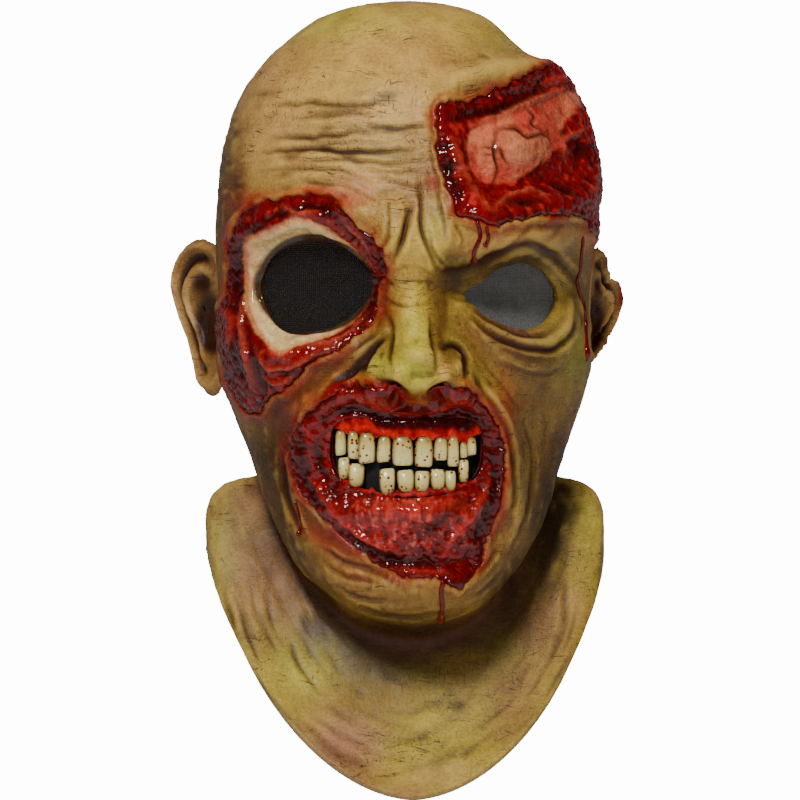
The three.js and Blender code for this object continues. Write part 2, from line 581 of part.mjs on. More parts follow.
// An ear: a cupped plate with a raised rim, set into the side of the head. side is -1 or 1.
function ear(side, outline, turnDegrees) {
  const turn = THREE.MathUtils.degToRad(turnDegrees);
  const rear = new THREE.Vector3(side * Math.sin(turn), Math.cos(turn), 0);
  const face = new THREE.Vector3(side * Math.cos(turn), -Math.sin(turn), 0);
  const root = new THREE.Vector3(side * (HALF_HEAD - WALL), 0, CROWN_Z - EAR_Z * HEAD_HEIGHT);
  const loop = new THREE.CatmullRomCurve3(outline.map(([u, v]) => new THREE.Vector3(u, v, 0)), true);
  const rim = loop.getSpacedPoints(EAR_SIDES).slice(0, -1);
  if (side < 0) rim.reverse();
  const spot = (knot, out, lift) =>
    root.clone()
      .addScaledVector(rear, THREE.MathUtils.lerp(EAR_MIDDLE[0], knot.x, out) * EAR_WIDTH)
      .addScaledVector(face, lift * EAR_THICKNESS)
      .add(new THREE.Vector3(0, 0, THREE.MathUtils.lerp(EAR_MIDDLE[1], knot.y, out) * EAR_HEIGHT));
  const ring = (out, lift) => rim.map((knot) => spot(knot, out, lift));
  const front = EAR_RINGS.map((r) => ring(r.out, r.front));
  const back = EAR_RINGS.toReversed().map((r) => ring(r.out, -r.back));
  const middle = new THREE.Vector3(...EAR_MIDDLE, 0);
  return ringSolid(
    spot(middle, 0, EAR_RINGS[0].front),
    [...front, ring(1, EAR_EDGE_LIFT), ...back],
    spot(middle, 0, -EAR_RINGS[0].back),
  );
}

// The latex casting: wall, ears, eye openings and mouth opening in one solid.
function maskShell() {
  const inside = hollow();
  const ears = [ear(-1, LEFT_EAR_OUTLINE, LEFT_EAR_TURN), ear(1, RIGHT_EAR_OUTLINE, RIGHT_EAR_TURN)];
  return ears
    .reduce((whole, piece) => whole.add(piece.subtract(inside)), headWall())
    .subtract(facePrism(eyeShape(SOCKET, 0)))
    .subtract(facePrism(eyeShape(LID, 0)))
    .subtract(facePrism(mouthShape(0, MOUTH.height, -MOUTH.height)));
}

// A net panel behind an eye opening.
function eyeNet(eye) {
  const near = WALL + SEAT_GAP;
  return panel(eyeShape(eye, NET_MARGIN), near, near + NET_THICKNESS, 1);
}

const latex = new THREE.MeshStandardMaterial({ color: 0xa0905a, roughness: 0.55, metalness: 0 });
const net = new THREE.MeshStandardMaterial({ color: 0x1c1e1e, roughness: 0.8, metalness: 0 });
const enamel = new THREE.MeshStandardMaterial({ color: 0xcfc79a, roughness: 0.25, metalness: 0 });

// A named mesh of the model.
function part(name, shape, material) {
  const mesh = new THREE.Mesh(geometryOf(shape), material);
  mesh.name = name;
  return mesh;
}

const mask = new THREE.Group();
mask.name = "horror_mask";
mask.add(
  part("mask_shell", maskShell(), latex),
  part("left_eye_net", eyeNet(SOCKET), net),
  part("right_eye_net", eyeNet(LID), net),
  part("upper_teeth", gumArch(UPPER_TEETH, MOUTH.height, BITE_GAP - BITE_DROP), enamel),
  part("lower_teeth", gumArch(LOWER_TEETH, -BITE_GAP - BITE_DROP, -MOUTH.height), enamel),
);

export default mask;
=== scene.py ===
"""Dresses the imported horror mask: painted latex skin, torn wet wounds, detailed teeth, ears and eye nets.

Lengths are millimetres until a mesh is made, and metres from there on. The head looks along -Y, Z is up.
Marks on the face are given in drawing units: the mask seen from one fixed viewing point straight before it,
drawn on a square of 800 units with its corner at the top left. At the face one unit is about 0.48 mm.
"""

import logging
import math
from collections.abc import Callable
from dataclasses import dataclass, field
from enum import Enum

import bpy
import numpy as np
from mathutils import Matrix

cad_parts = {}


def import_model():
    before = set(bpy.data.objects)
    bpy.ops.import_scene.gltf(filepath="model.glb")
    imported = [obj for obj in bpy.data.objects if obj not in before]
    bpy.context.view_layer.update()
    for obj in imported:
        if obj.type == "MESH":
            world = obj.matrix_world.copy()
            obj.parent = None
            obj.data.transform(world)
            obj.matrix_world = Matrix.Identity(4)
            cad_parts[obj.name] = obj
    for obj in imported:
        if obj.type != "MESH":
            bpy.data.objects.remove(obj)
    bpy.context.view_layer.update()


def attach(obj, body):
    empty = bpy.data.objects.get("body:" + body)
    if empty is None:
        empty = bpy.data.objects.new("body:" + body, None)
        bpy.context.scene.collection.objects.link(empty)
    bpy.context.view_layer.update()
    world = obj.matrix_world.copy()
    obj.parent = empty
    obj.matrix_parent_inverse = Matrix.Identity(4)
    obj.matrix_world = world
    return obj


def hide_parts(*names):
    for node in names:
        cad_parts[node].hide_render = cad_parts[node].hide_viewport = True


Array = np.ndarray

LOG = logging.getLogger("mask")
MM = 0.001
TINY = 1e-9
STEP = 1e-3
BODY = "root"


# Numbers, curves and noise


def smoothstep(x: Array, low: float, high: float) -> Array:
    """Returns 0 below low, 1 above high, and 3s^2 - 2s^3 between, with s the share of the way."""
    s = np.clip((x - low) / (high - low), 0.0, 1.0)
    return s * s * (3.0 - 2.0 * s)


def mix(a: Array, b: Array, share: Array) -> Array:
    """Returns a + (b - a) * share."""
    return a + (b - a) * share


def stained(colour: Array, tint: Array, share: Array) -> Array:
    """Returns colours moved toward a tint, by one share for each point."""
    return mix(colour, tint, share[:, None])


def bell(x: Array, middle: float, width: float) -> Array:
    """Returns exp(-((x - middle) / width)^2)."""
    return np.exp(-(((x - middle) / width) ** 2))


def unit(v: Array) -> Array:
    """Returns v divided by its length."""
    return v / np.maximum(np.linalg.norm(v, axis=-1, keepdims=True), TINY)


def cubic(a: Array, b: Array, c: Array, d: Array, u: Array) -> Array:
    """Returns b + u/2 (c - a + u (2a - 5b + 4c - d + u (3(b - c) + d - a))), from b to c by the share u."""
    return b + 0.5 * u * (c - a + u * (2 * a - 5 * b + 4 * c - d + u * (3 * (b - c) + d - a)))


def catmull(knots: Array, position: Array, closed: bool = False) -> Array:
    """Follows a Catmull-Rom curve through knots.

    Args:
        knots: one row per knot.
        position: knot numbers to read at, with fractions.
        closed: whether the curve runs round.

    Returns:
        One row per position.
    """
    knots = np.asarray(knots, float)
    count = len(knots)
    if closed:
        i = np.floor(position).astype(int)
        a, b, c, d = (knots[(i + k) % count] for k in (-1, 0, 1, 2))
    else:
        padded = np.concatenate([[2 * knots[0] - knots[1]], knots, [2 * knots[-1] - knots[-2]]])
        i = np.clip(np.floor(position).astype(int), 0, count - 2)
        a, b, c, d = (padded[i + k] for k in (0, 1, 2, 3))
    u = (position - i)[..., None] if knots.ndim > 1 else position - i
    return cubic(a, b, c, d, u)


def smooth_path(points: tuple, steps: int) -> Array:
    """Returns a smooth open path through points, with steps pieces between two of them."""
    knots = np.array(points, float)
    return catmull(knots, np.linspace(0, len(knots) - 1, (len(knots) - 1) * steps + 1))


def smooth_loop(points: tuple, steps: int) -> Array:
    """Returns a smooth closed path through points, with steps pieces between two of them."""
    knots = np.array(points, float)
    return catmull(knots, np.arange(len(knots) * steps) / steps, closed=True)


def squared(a: Array, power: float) -> tuple[Array, Array]:
    """Returns cos a and sin a with their sizes raised to a power, which squares the circle off below 1."""
    return tuple(np.sign(wave) * np.abs(wave) ** power for wave in (np.cos(a), np.sin(a)))


def taper(share: Array) -> Array:
    """Returns sin^0.5 of the share along a stroke: nearly 0 at both ends and 1 in the middle."""
    return np.sqrt(np.sin(np.pi * np.clip(share, 0.02, 0.98)))


def rotated(x: Array, y: Array, turn: float) -> tuple[Array, Array]:
    """Returns coordinates in a frame turned by an angle in degrees."""
    a = math.radians(turn)
    return x * math.cos(a) + y * math.sin(a), y * math.cos(a) - x * math.sin(a)


def path_distance(p: Array, path: Array) -> tuple[Array, Array]:
    """Finds how far points lie from a path, and where along it.

    Args:
        p: points, (N, 2).
        path: the path's points, (M, 2).

    Returns:
        The distances, and the shares of the path's length of the nearest spots.
    """
    start, leg = path[:-1], np.diff(path, axis=0)
    length = np.maximum(np.linalg.norm(leg, axis=1), TINY)
    before = np.concatenate([[0.0], np.cumsum(length)])
    best = np.full(len(p), np.inf)
    share = np.zeros(len(p))
    for a, v, size, done in zip(start, leg, length, before):
        along = np.clip(((p - a) @ v) / (size * size), 0.0, 1.0)
        gap = np.hypot(p[:, 0] - a[0] - along * v[0], p[:, 1] - a[1] - along * v[1])
        nearer = gap < best
        best = np.where(nearer, gap, best)
        share = np.where(nearer, (done + along * size) / before[-1], share)
    return best, share


def inside_distance(p: Array, loop: Array) -> Array:
    """Returns how deep points lie inside a closed loop, negative outside it, by counting crossings."""
    gap, _ = path_distance(p, np.concatenate([loop, loop[:1]]))
    odd = np.zeros(len(p), bool)
    for a, b in zip(loop, np.roll(loop, -1, axis=0)):
        crosses = (a[1] > p[:, 1]) != (b[1] > p[:, 1])
        rise = b[1] - a[1] if abs(b[1] - a[1]) > TINY else TINY
        odd ^= crosses & (p[:, 0] < a[0] + (b[0] - a[0]) * (p[:, 1] - a[1]) / rise)
    return np.where(odd, gap, -gap)


def lattice(cell: Array, seed: int) -> Array:
    """Returns an even random number from 0 to 1 for every whole-number cell, by mixing its bits."""
    c = cell.astype(np.int64)
    h = c[..., 0] * 374761393 + c[..., 1] * 668265263 + c[..., 2] * 1442695041 + seed * 974711
    h = (h ^ (h >> 13)) & 0xFFFFFFFF
    h = (h * 1274126177) & 0xFFFFFFFF
    h = (h ^ (h >> 16)) & 0xFFFFFFFF
    return h / 4294967296.0


def noise(p: Array, scale: float, seed: int = 0, octaves: int = 1) -> Array:
    """Smooth noise from -1 to 1: random numbers at lattice corners, blended by smoothstep.

    Args:
        p: points, (N, 3).
        scale: the lattice's spacing.
        seed: which noise.
        octaves: how many layers, each half as large and half as strong as the last.

    Returns:
        One number per point.
    """
    total = np.zeros(p.shape[:-1])
    strength, reach = 1.0, 0.0
    for octave in range(octaves):
        q = p / scale * 2.0**octave + 17.3 * octave
        base = np.floor(q)
        f = q - base
        f = f * f * (3.0 - 2.0 * f)
        layer = np.zeros_like(total)
        for corner in np.ndindex(2, 2, 2):
            side = np.array(corner)
            weight = np.prod(np.where(side == 1, f, 1.0 - f), axis=-1)
            layer += weight * lattice(base + side, seed + octave)
        total += strength * (2.0 * layer - 1.0)
        reach += strength
        strength *= 0.5
    return total / reach


def clots(p: Array, scale: float, seed: int = 0) -> Array:
    """Rounded lumps: 1 at the middle of each random cell, falling as 1 - d^2 to 0 at its rim."""
    q = p / scale
    base = np.floor(q)
    nearest = np.full(p.shape[:-1], np.inf)
    for offset in np.ndindex(3, 3, 3):
        cell = base + np.array(offset) - 1
        spot = cell + np.stack([lattice(cell, seed + k) for k in (1, 2, 3)], axis=-1)
        nearest = np.minimum(nearest, np.linalg.norm(q - spot, axis=-1))
    return np.clip(1.0 - nearest**2, 0.0, 1.0)


# The fixed viewing point


@dataclass(frozen=True)
class Viewpoint:
    """The spot that the drawing of the face is made from, and the camera with it."""

    distance: float = 2400.0
    azimuth: float = -2.5
    target_x: float = -2.5
    target_z: float = -196.0
    lens: float = 216.0
    sensor: float = 36.0
    side: float = 800.0

    def axes(self) -> tuple[Array, Array, Array]:
        """Returns the way ahead, the way right, and the viewing point."""
        a = math.radians(self.azimuth)
        ahead = np.array([-math.sin(a), math.cos(a), 0.0])
        right = np.array([math.cos(a), math.sin(a), 0.0])
        target = np.array([self.target_x, 0.0, self.target_z])
        return ahead, right, target - self.distance * ahead

    def draw(self, p: Array) -> Array:
        """Returns drawing coordinates of points: middle + focal * sideways / depth, and so for the height."""
        ahead, right, spot = self.axes()
        d = p - spot
        depth = d @ ahead
        focal = self.side * self.lens / self.sensor
        return np.stack([self.side / 2 + focal * (d @ right) / depth,
                         self.side / 2 - focal * d[..., 2] / depth], axis=-1)

    def camera(self) -> None:
        """Makes the camera at the viewing point, level."""
        data = bpy.data.cameras.new("camera")
        data.lens = self.lens
        data.sensor_width = self.sensor
        data.clip_end = 50.0
        holder = bpy.data.objects.new("camera", data)
        holder.location = self.axes()[2] * MM
        holder.rotation_euler = (math.pi / 2, 0.0, math.radians(self.azimuth))
        bpy.context.scene.collection.objects.link(holder)
        bpy.context.scene.camera = holder


VIEW = Viewpoint()


# The form of the casting, from the same named sizes as the solids


@dataclass(frozen=True)
class Section:
    """A ring of the head: heights below the crown, half width and depths, all as shares."""

    side: float
    face: float
    nape: float
    half: float
    front: float
    back: float


@dataclass(frozen=True)
class BibSection:
    """A ring of the neck and bib: its growth from neck to hem, its falls, and how its front hangs."""

    out: float
    chest: float
    nape: float
    side: float
    face: float
    back: float
    bend: float
    point: float


@dataclass(frozen=True)
class Swelling:
    """A swelling or dent of the face, on an oval. Shares of the head's sizes, turn in degrees."""

    x: float
    z: float
    rx: float
    rz: float
    lift: float
    under: float = 1.0
    turn: float = 0.0
    blunt: float = 1.0
    thin: bool = True


@dataclass(frozen=True)
class Tear:
    """A torn edge that stands up round a floor, on a squared oval. Sizes in millimetres."""

    x: float
    z: float
    width: float
    height: float
    rim: float
    band: float
    turn: float = 0.0
    floor: float = 0.0


@dataclass(frozen=True)
class Fold:
    """A fold or ridge that runs through points of the face."""

    points: tuple[tuple[float, float], ...]
    width: float
    lift: float


@dataclass(frozen=True)
class Opening:
    """An opening of the casting: its middle, its size, and its outline as shares of half of that size."""

    x: float
    z: float
    width: float
    height: float
    outline: tuple[tuple[float, float], ...] = ()


SOCKET = Opening(-0.49, 0.469, 56.0, 45.0, (
    (1.0, 0.12), (0.72, 0.62), (0.28, 0.93), (-0.25, 0.95), (-0.75, 0.7), (-1.0, 0.1), (-0.86, -0.55),
    (-0.55, -0.95), (-0.05, -0.96), (0.45, -0.78), (0.82, -0.38)))
LID = Opening(0.515, 0.482, 49.0, 32.0, (
    (-1.0, 0.05), (-0.62, 0.42), (-0.2, 0.86), (0.25, 0.98), (0.7, 0.7), (1.0, 0.1), (0.86, -0.5),
    (0.5, -0.92), (0.05, -1.0), (-0.45, -0.7), (-0.8, -0.3)))
MOUTH = Opening(-0.035, 0.728, 74.0, 39.0)


@dataclass
class HeadForm:
    """The head, neck and bib as a surface over the angle round the head and the position down its rings."""

    wall: float = 3.0
    head_height: float = 308.0
    head_width: float = 189.0
    face_depth: float = 104.0
    back_depth: float = 112.0
    neck_width: float = 134.0
    neck_front: float = 55.0
    neck_back: float = 75.0
    bib_width: float = 199.0
    chest_depth: float = 92.0
    nape_depth: float = 98.0
    bib_drop: float = 82.0
    shoulder_fall: float = 40.0
    nape_fall: float = 64.0
    jaw_bend: float = 1.15
    mouth_bow: float = 6.0
    mouth_roundness: float = 0.6
    face_end: float = -0.4
    face_start: float = 0.15
    head_rings: tuple[Section, ...] = (
        Section(0.0, 0.0, 0.0, 0.0, 0.0, 0.0),
        Section(0.007, 0.007, 0.007, 0.25, 0.23, 0.26),
        Section(0.029, 0.029, 0.029, 0.465, 0.45, 0.52),
        Section(0.078, 0.078, 0.078, 0.68, 0.67, 0.76),
        Section(0.118, 0.118, 0.118, 0.795, 0.79, 0.85),
        Section(0.159, 0.159, 0.159, 0.88, 0.87, 0.91),
        Section(0.24, 0.24, 0.24, 0.965, 0.95, 0.973),
        Section(0.321, 0.321, 0.321, 0.993, 0.99, 1.0),
        Section(0.393, 0.393, 0.393, 1.0, 1.0, 0.99),
        Section(0.474, 0.474, 0.474, 0.985, 0.952, 0.955),
        Section(0.545, 0.562, 0.55, 0.975, 0.962, 0.9),
        Section(0.607, 0.653, 0.615, 0.965, 0.97, 0.84),
        Section(0.665, 0.753, 0.68, 0.91, 0.96, 0.777),
        Section(0.703, 0.851, 0.725, 0.86, 0.952, 0.723),
        Section(0.732, 0.942, 0.755, 0.815, 0.942, 0.69),
        Section(0.749, 0.99, 0.77, 0.775, 0.846, 0.675),
        Section(0.757, 1.0, 0.778, 0.725, 0.69, 0.67),
    )
    bib_rings: tuple[BibSection, ...] = (
        BibSection(0.0, 0.05, 0.0, 0.02, 0.085, 0.05, 1.15, 0.0),
        BibSection(0.28, 0.0, 0.17, 0.08, 0.23, 0.12, 1.2, 0.0),
        BibSection(0.76, 0.19, 0.48, 0.21, 0.48, 0.25, 1.3, 0.0),
        BibSection(0.99, 0.57, 0.78, 0.5, 0.77, 0.6, 1.4, 0.03),
        BibSection(1.0, 1.0, 1.0, 1.0, 1.0, 1.0, 1.5, 0.06),
    )
    swellings: tuple[Swelling, ...] = (
        Swelling(-0.45, 0.365, 0.4, 0.04, 0.045, under=0.8, turn=4),
        Swelling(0.5, 0.405, 0.36, 0.06, 0.12, under=0.35, turn=12),
        Swelling(0.0, 0.41, 0.2, 0.045, 0.05, under=0.8),
        Swelling(-0.49, 0.468, 0.35, 0.085, -0.12),
        Swelling(0.51, 0.484, 0.33, 0.06, -0.15),
        Swelling(0.0, 0.5, 0.12, 0.09, 0.11),
        Swelling(0.01, 0.575, 0.17, 0.07, 0.17, under=0.5),
        Swelling(0.02, 0.608, 0.15, 0.045, 0.16, under=0.85, blunt=2, thin=False),
        Swelling(-0.15, 0.62, 0.1, 0.035, 0.13, under=0.8, blunt=2, thin=False),
        Swelling(0.19, 0.62, 0.1, 0.035, 0.13, under=0.8, blunt=2, thin=False),
        Swelling(-0.7, 0.568, 0.24, 0.05, 0.06),
        Swelling(0.7, 0.568, 0.24, 0.05, 0.06),
        Swelling(-0.68, 0.7, 0.15, 0.078, -0.05),
        Swelling(0.66, 0.7, 0.15, 0.078, -0.06),
        Swelling(0.0, 0.76, 0.42, 0.12, 0.05),
        Swelling(0.0, 0.835, 0.34, 0.04, 0.03, thin=False),
        Swelling(0.04, 0.95, 0.3, 0.045, 0.07, under=0.8),
        Swelling(0.5, 0.245, 0.2, 0.045, 0.05, turn=20, thin=False),
        Swelling(0.66, 0.06, 0.2, 0.045, -0.055, turn=-35),
    )
    tears: tuple[Tear, ...] = (
        Tear(0.56, 0.235, 74.0, 70.0, rim=5.0, band=0.18, turn=14, floor=5.0),
        Tear(-0.5, 0.468, 56.0 * 1.4, 45.0 * 1.45, rim=3.0, band=0.18, turn=8),
        Tear(-0.05, 0.78, 102.0, 92.0, rim=3.0, band=0.12),
        Tear(MOUTH.x, MOUTH.z, MOUTH.width * 1.22, MOUTH.height * 1.5, rim=3.0, band=0.16),
    )
    folds: tuple[Fold, ...] = (
        Fold(((0.1, 0.44), (0.16, 0.39), (0.14, 0.345)), 0.055, 0.035),
        Fold(((-0.12, 0.45), (-0.14, 0.4), (-0.1, 0.35)), 0.055, 0.03),
        Fold(((0.24, 0.5), (0.48, 0.565), (0.75, 0.555), (0.88, 0.5)), 0.06, 0.03),
        Fold(((0.24, 0.59), (0.4, 0.66), (0.48, 0.74), (0.5, 0.82)), 0.07, 0.035),
        Fold(((-0.24, 0.59), (-0.42, 0.64), (-0.55, 0.73)), 0.07, 0.035),
        Fold(((-0.9, 0.5), (-0.78, 0.6), (-0.62, 0.66)), 0.1, 0.03),
        Fold(((-0.2, 0.905), (0.02, 0.915), (0.26, 0.9)), 0.06, -0.03),
    )
    columns: dict[str, Array] = field(default_factory=dict)

    def __post_init__(self) -> None:
        """Turns the sections into columns of real sizes, each with one more value before and after."""
        self.half_head = self.head_width / 2
        self.jaw_z = self.wall - self.head_rings[-1].side * self.head_height
        self.chin_z = self.wall - self.head_height
        top, height = self.wall, self.head_height
        rows = {
            "half": [r.half * self.half_head for r in self.head_rings]
            + [mix(self.neck_width / 2, self.bib_width / 2, r.out) for r in self.bib_rings],
            "front": [r.front * self.face_depth for r in self.head_rings]
            + [mix(self.neck_front, self.chest_depth, r.chest) for r in self.bib_rings],
            "back": [r.back * self.back_depth for r in self.head_rings]
            + [mix(self.neck_back, self.nape_depth, r.nape) for r in self.bib_rings],
            "side": [top - r.side * height for r in self.head_rings]
            + [self.jaw_z - r.side * self.shoulder_fall for r in self.bib_rings],
            "face": [top - r.face * height for r in self.head_rings]
            + [self.chin_z - r.face * self.bib_drop for r in self.bib_rings],
            "nape": [top - r.nape * height for r in self.head_rings]
            + [self.jaw_z - r.back * self.nape_fall for r in self.bib_rings],
            "bend": [self.jaw_bend for _ in self.head_rings] + [r.bend for r in self.bib_rings],
            "point": [0.0 for _ in self.head_rings] + [r.point for r in self.bib_rings],
        }
        for name, values in rows.items():
            mirror = -1.0 if name in ("half", "front", "back") else 1.0
            after = 2 * values[-1] - values[-2]
            self.columns[name] = np.array([mirror * values[1], *values, after])
        self.last = len(self.head_rings) + len(self.bib_rings) - 1

    def column(self, name: str, t: Array) -> Array:
        """Returns one column of the sections at row positions t, on a Catmull-Rom curve."""
        values = self.columns[name]
        i = np.clip(np.floor(t).astype(int), 0, self.last - 1)
        return cubic(*(values[i + k] for k in (0, 1, 2, 3)), t - i)

    def plain(self, angle: Array, t: Array) -> Array:
        """The head without a face: (half sin, -depth cos, side + (end - side) share).

        In front the share is (1 - point)|cos|^bend + point (1 - |sin|), and behind it is |cos|^jaw_bend.
        """
        c, s = np.cos(angle), np.sin(angle)
        ahead = c > 0
        depth = np.where(ahead, self.column("front", t), self.column("back", t))
        side = self.column("side", t)
        end = np.where(ahead, self.column("face", t), self.column("nape", t))
        bend = np.where(ahead, self.column("bend", t), self.jaw_bend)
        point = np.where(ahead, self.column("point", t), 0.0)
        share = (1 - point) * np.abs(c) ** bend + point * (1 - np.abs(s))
        return np.stack([self.column("half", t) * s, -depth * c, side + (end - side) * share], axis=-1)

    def normal(self, surface: Callable, angle: Array, t: Array) -> Array:
        """Returns the outward normal of a surface of angle and t, down x across by small steps."""
        low = np.maximum(t - STEP, STEP)
        high = np.minimum(np.maximum(t, STEP) + STEP, self.last)
        across = surface(angle + STEP, t) - surface(angle - STEP, t)
        down = surface(angle, high) - surface(angle, low)
        n = unit(np.cross(down, across))
        return np.where((t < STEP)[..., None], np.array([0.0, 0.0, 1.0]), n)

    def spot(self, x: float, z: float) -> Array:
        """Returns x and z in millimetres of a place given as shares of the head."""
        return np.array([x * self.half_head, self.wall - z * self.head_height])

    def turned(self, p: Array, x: float, z: float, turn: float) -> tuple[Array, Array]:
        """Returns coordinates of points in a turned frame centred at x, z."""
        middle = self.spot(x, z)
        return rotated(p[..., 0] - middle[0], p[..., 2] - middle[1], turn)

    def lift(self, p: Array, inner: bool) -> Array:
        """How far the face stands out: the sum of its swellings, tears and folds.

        A swelling adds lift exp(-(u^2/rx^2 + v^2/rz^2)^blunt). With out = ((2u/w)^4 + (2v/h)^4)^(1/4) - 1,
        a tear adds rim exp(-(out/band)^2) and takes off floor smoothstep(-out). A fold adds
        lift exp(-(distance/width)^2). The inside has no rims, folds or small swellings.
        """
        total = np.zeros(p.shape[:-1])
        for form in self.swellings:
            if inner and not form.thin:
                continue
            u, v = self.turned(p, form.x, form.z, form.turn)
            rz = form.rz * self.head_height * np.where(v < 0, form.under, 1.0)
            reach = (u / (form.rx * self.half_head)) ** 2 + (v / rz) ** 2
            total += form.lift * self.face_depth * np.exp(-(reach**form.blunt))
        for tear in self.tears:
            u, v = self.turned(p, tear.x, tear.z, tear.turn)
            out = ((2 * u / tear.width) ** 4 + (2 * v / tear.height) ** 4) ** 0.25 - 1
            total -= tear.floor * smoothstep(-out, 0.0, 2 * tear.band)
            if not inner:
                total += tear.rim * bell(out, 0.0, tear.band)
        if inner:
            return total
        flat = p[..., (0, 2)].reshape(-1, 2)
        for fold in self.folds:
            knots = np.array([self.spot(x, z) for x, z in fold.points])
            gap = path_distance(flat, knots)[0].reshape(total.shape) / (fold.width * self.half_head)
            total += fold.lift * self.face_depth * bell(gap, 0.0, 1.0)
        return total

    def point(self, angle: Array, t: Array, inner: bool = False) -> Array:
        """The head with its face: plain + fade * lift along the mean of the plain normal and -Y."""
        p = self.plain(angle, t)
        fade = smoothstep(np.cos(angle), self.face_end, self.face_start) * (t >= STEP)
        way = unit(self.normal(self.plain, angle, t) + np.array([0.0, -1.0, 0.0]))
        return p + (fade * self.lift(p, inner))[..., None] * way

    def inside(self, angle: Array, t: Array, depth: float) -> Array:
        """Returns the inside of the wall: the form that it follows, less depth along its normal."""

        def form(a: Array, s: Array) -> Array:
            """Returns the plainer form of the inside."""
            return self.point(a, s, inner=True)

        return form(angle, t) - depth * self.normal(form, angle, t)

    def eye_loop(self, eye: Opening, margin: float = 0.0) -> Array:
        """Returns an eye opening's outline in x and z."""
        knots = np.array(eye.outline) * (eye.width / 2 + margin, eye.height / 2 + margin)
        return smooth_loop(tuple(map(tuple, knots + self.spot(eye.x, eye.z))), 8)

    def mouth_loop(self, margin: float = 0.0) -> Array:
        """Returns the mouth's outline: (half |cos|^r, rise |sin|^r) with signs, its middle hung lower."""
        a = np.arange(96) * 2 * np.pi / 96
        u, v = squared(a, self.mouth_roundness)
        half, rise = MOUTH.width / 2 + margin, MOUTH.height / 2 + margin
        sag = self.mouth_bow * (0.5 - (2 * u * half / MOUTH.width) ** 2)
        middle = self.spot(MOUTH.x, MOUTH.z)
        return np.stack([middle[0] + u * half, middle[1] + v * rise - sag], axis=-1)


FORM = HeadForm()


# Marks of the face, in drawing units


@dataclass(frozen=True)
class Stroke:
    """A crease or ridge drawn on the face: its path, half width, depth (mm) and how dark the painted shade in
    it is.
    """

    points: tuple[tuple[float, float], ...]
    width: float
    depth: float
    dark: float = 1.0


@dataclass(frozen=True)
class Dab:
    """A soft patch of airbrushed colour; some patches are painted shade or painted light. An oval with its
    turn, colour and strength.
    """

    x: float
    y: float
    rx: float
    ry: float
    colour: Array
    strength: float
    turn: float = 0.0


CHIN_SPOT = (410, 556)


def neck_lines(count: int = 90) -> list[Stroke]:
    """Returns fine lines that hang round the chin on the neck and bib, each on an arc that sags outward."""
    rng = np.random.default_rng(19)
    lines = []
    least, most = (12, 92, 5, 4), (168, 216, 14, 16)
    for turn, reach, span, sag in rng.uniform(least, most, (count, 4)):
        a = np.radians(turn + np.sign(turn - 90) * np.array([span, 0.0, -span]))
        radii = reach + 0.5 * sag * np.array([-1.0, 0.0, 1.0])
        spots = np.stack([CHIN_SPOT[0] + 0.98 * radii * np.cos(a), CHIN_SPOT[1] + radii * np.sin(a)], axis=1)
        lines.append(Stroke(tuple(map(tuple, spots.tolist())), 2.2, 0.3, rng.uniform(0.35, 0.95)))
    return lines


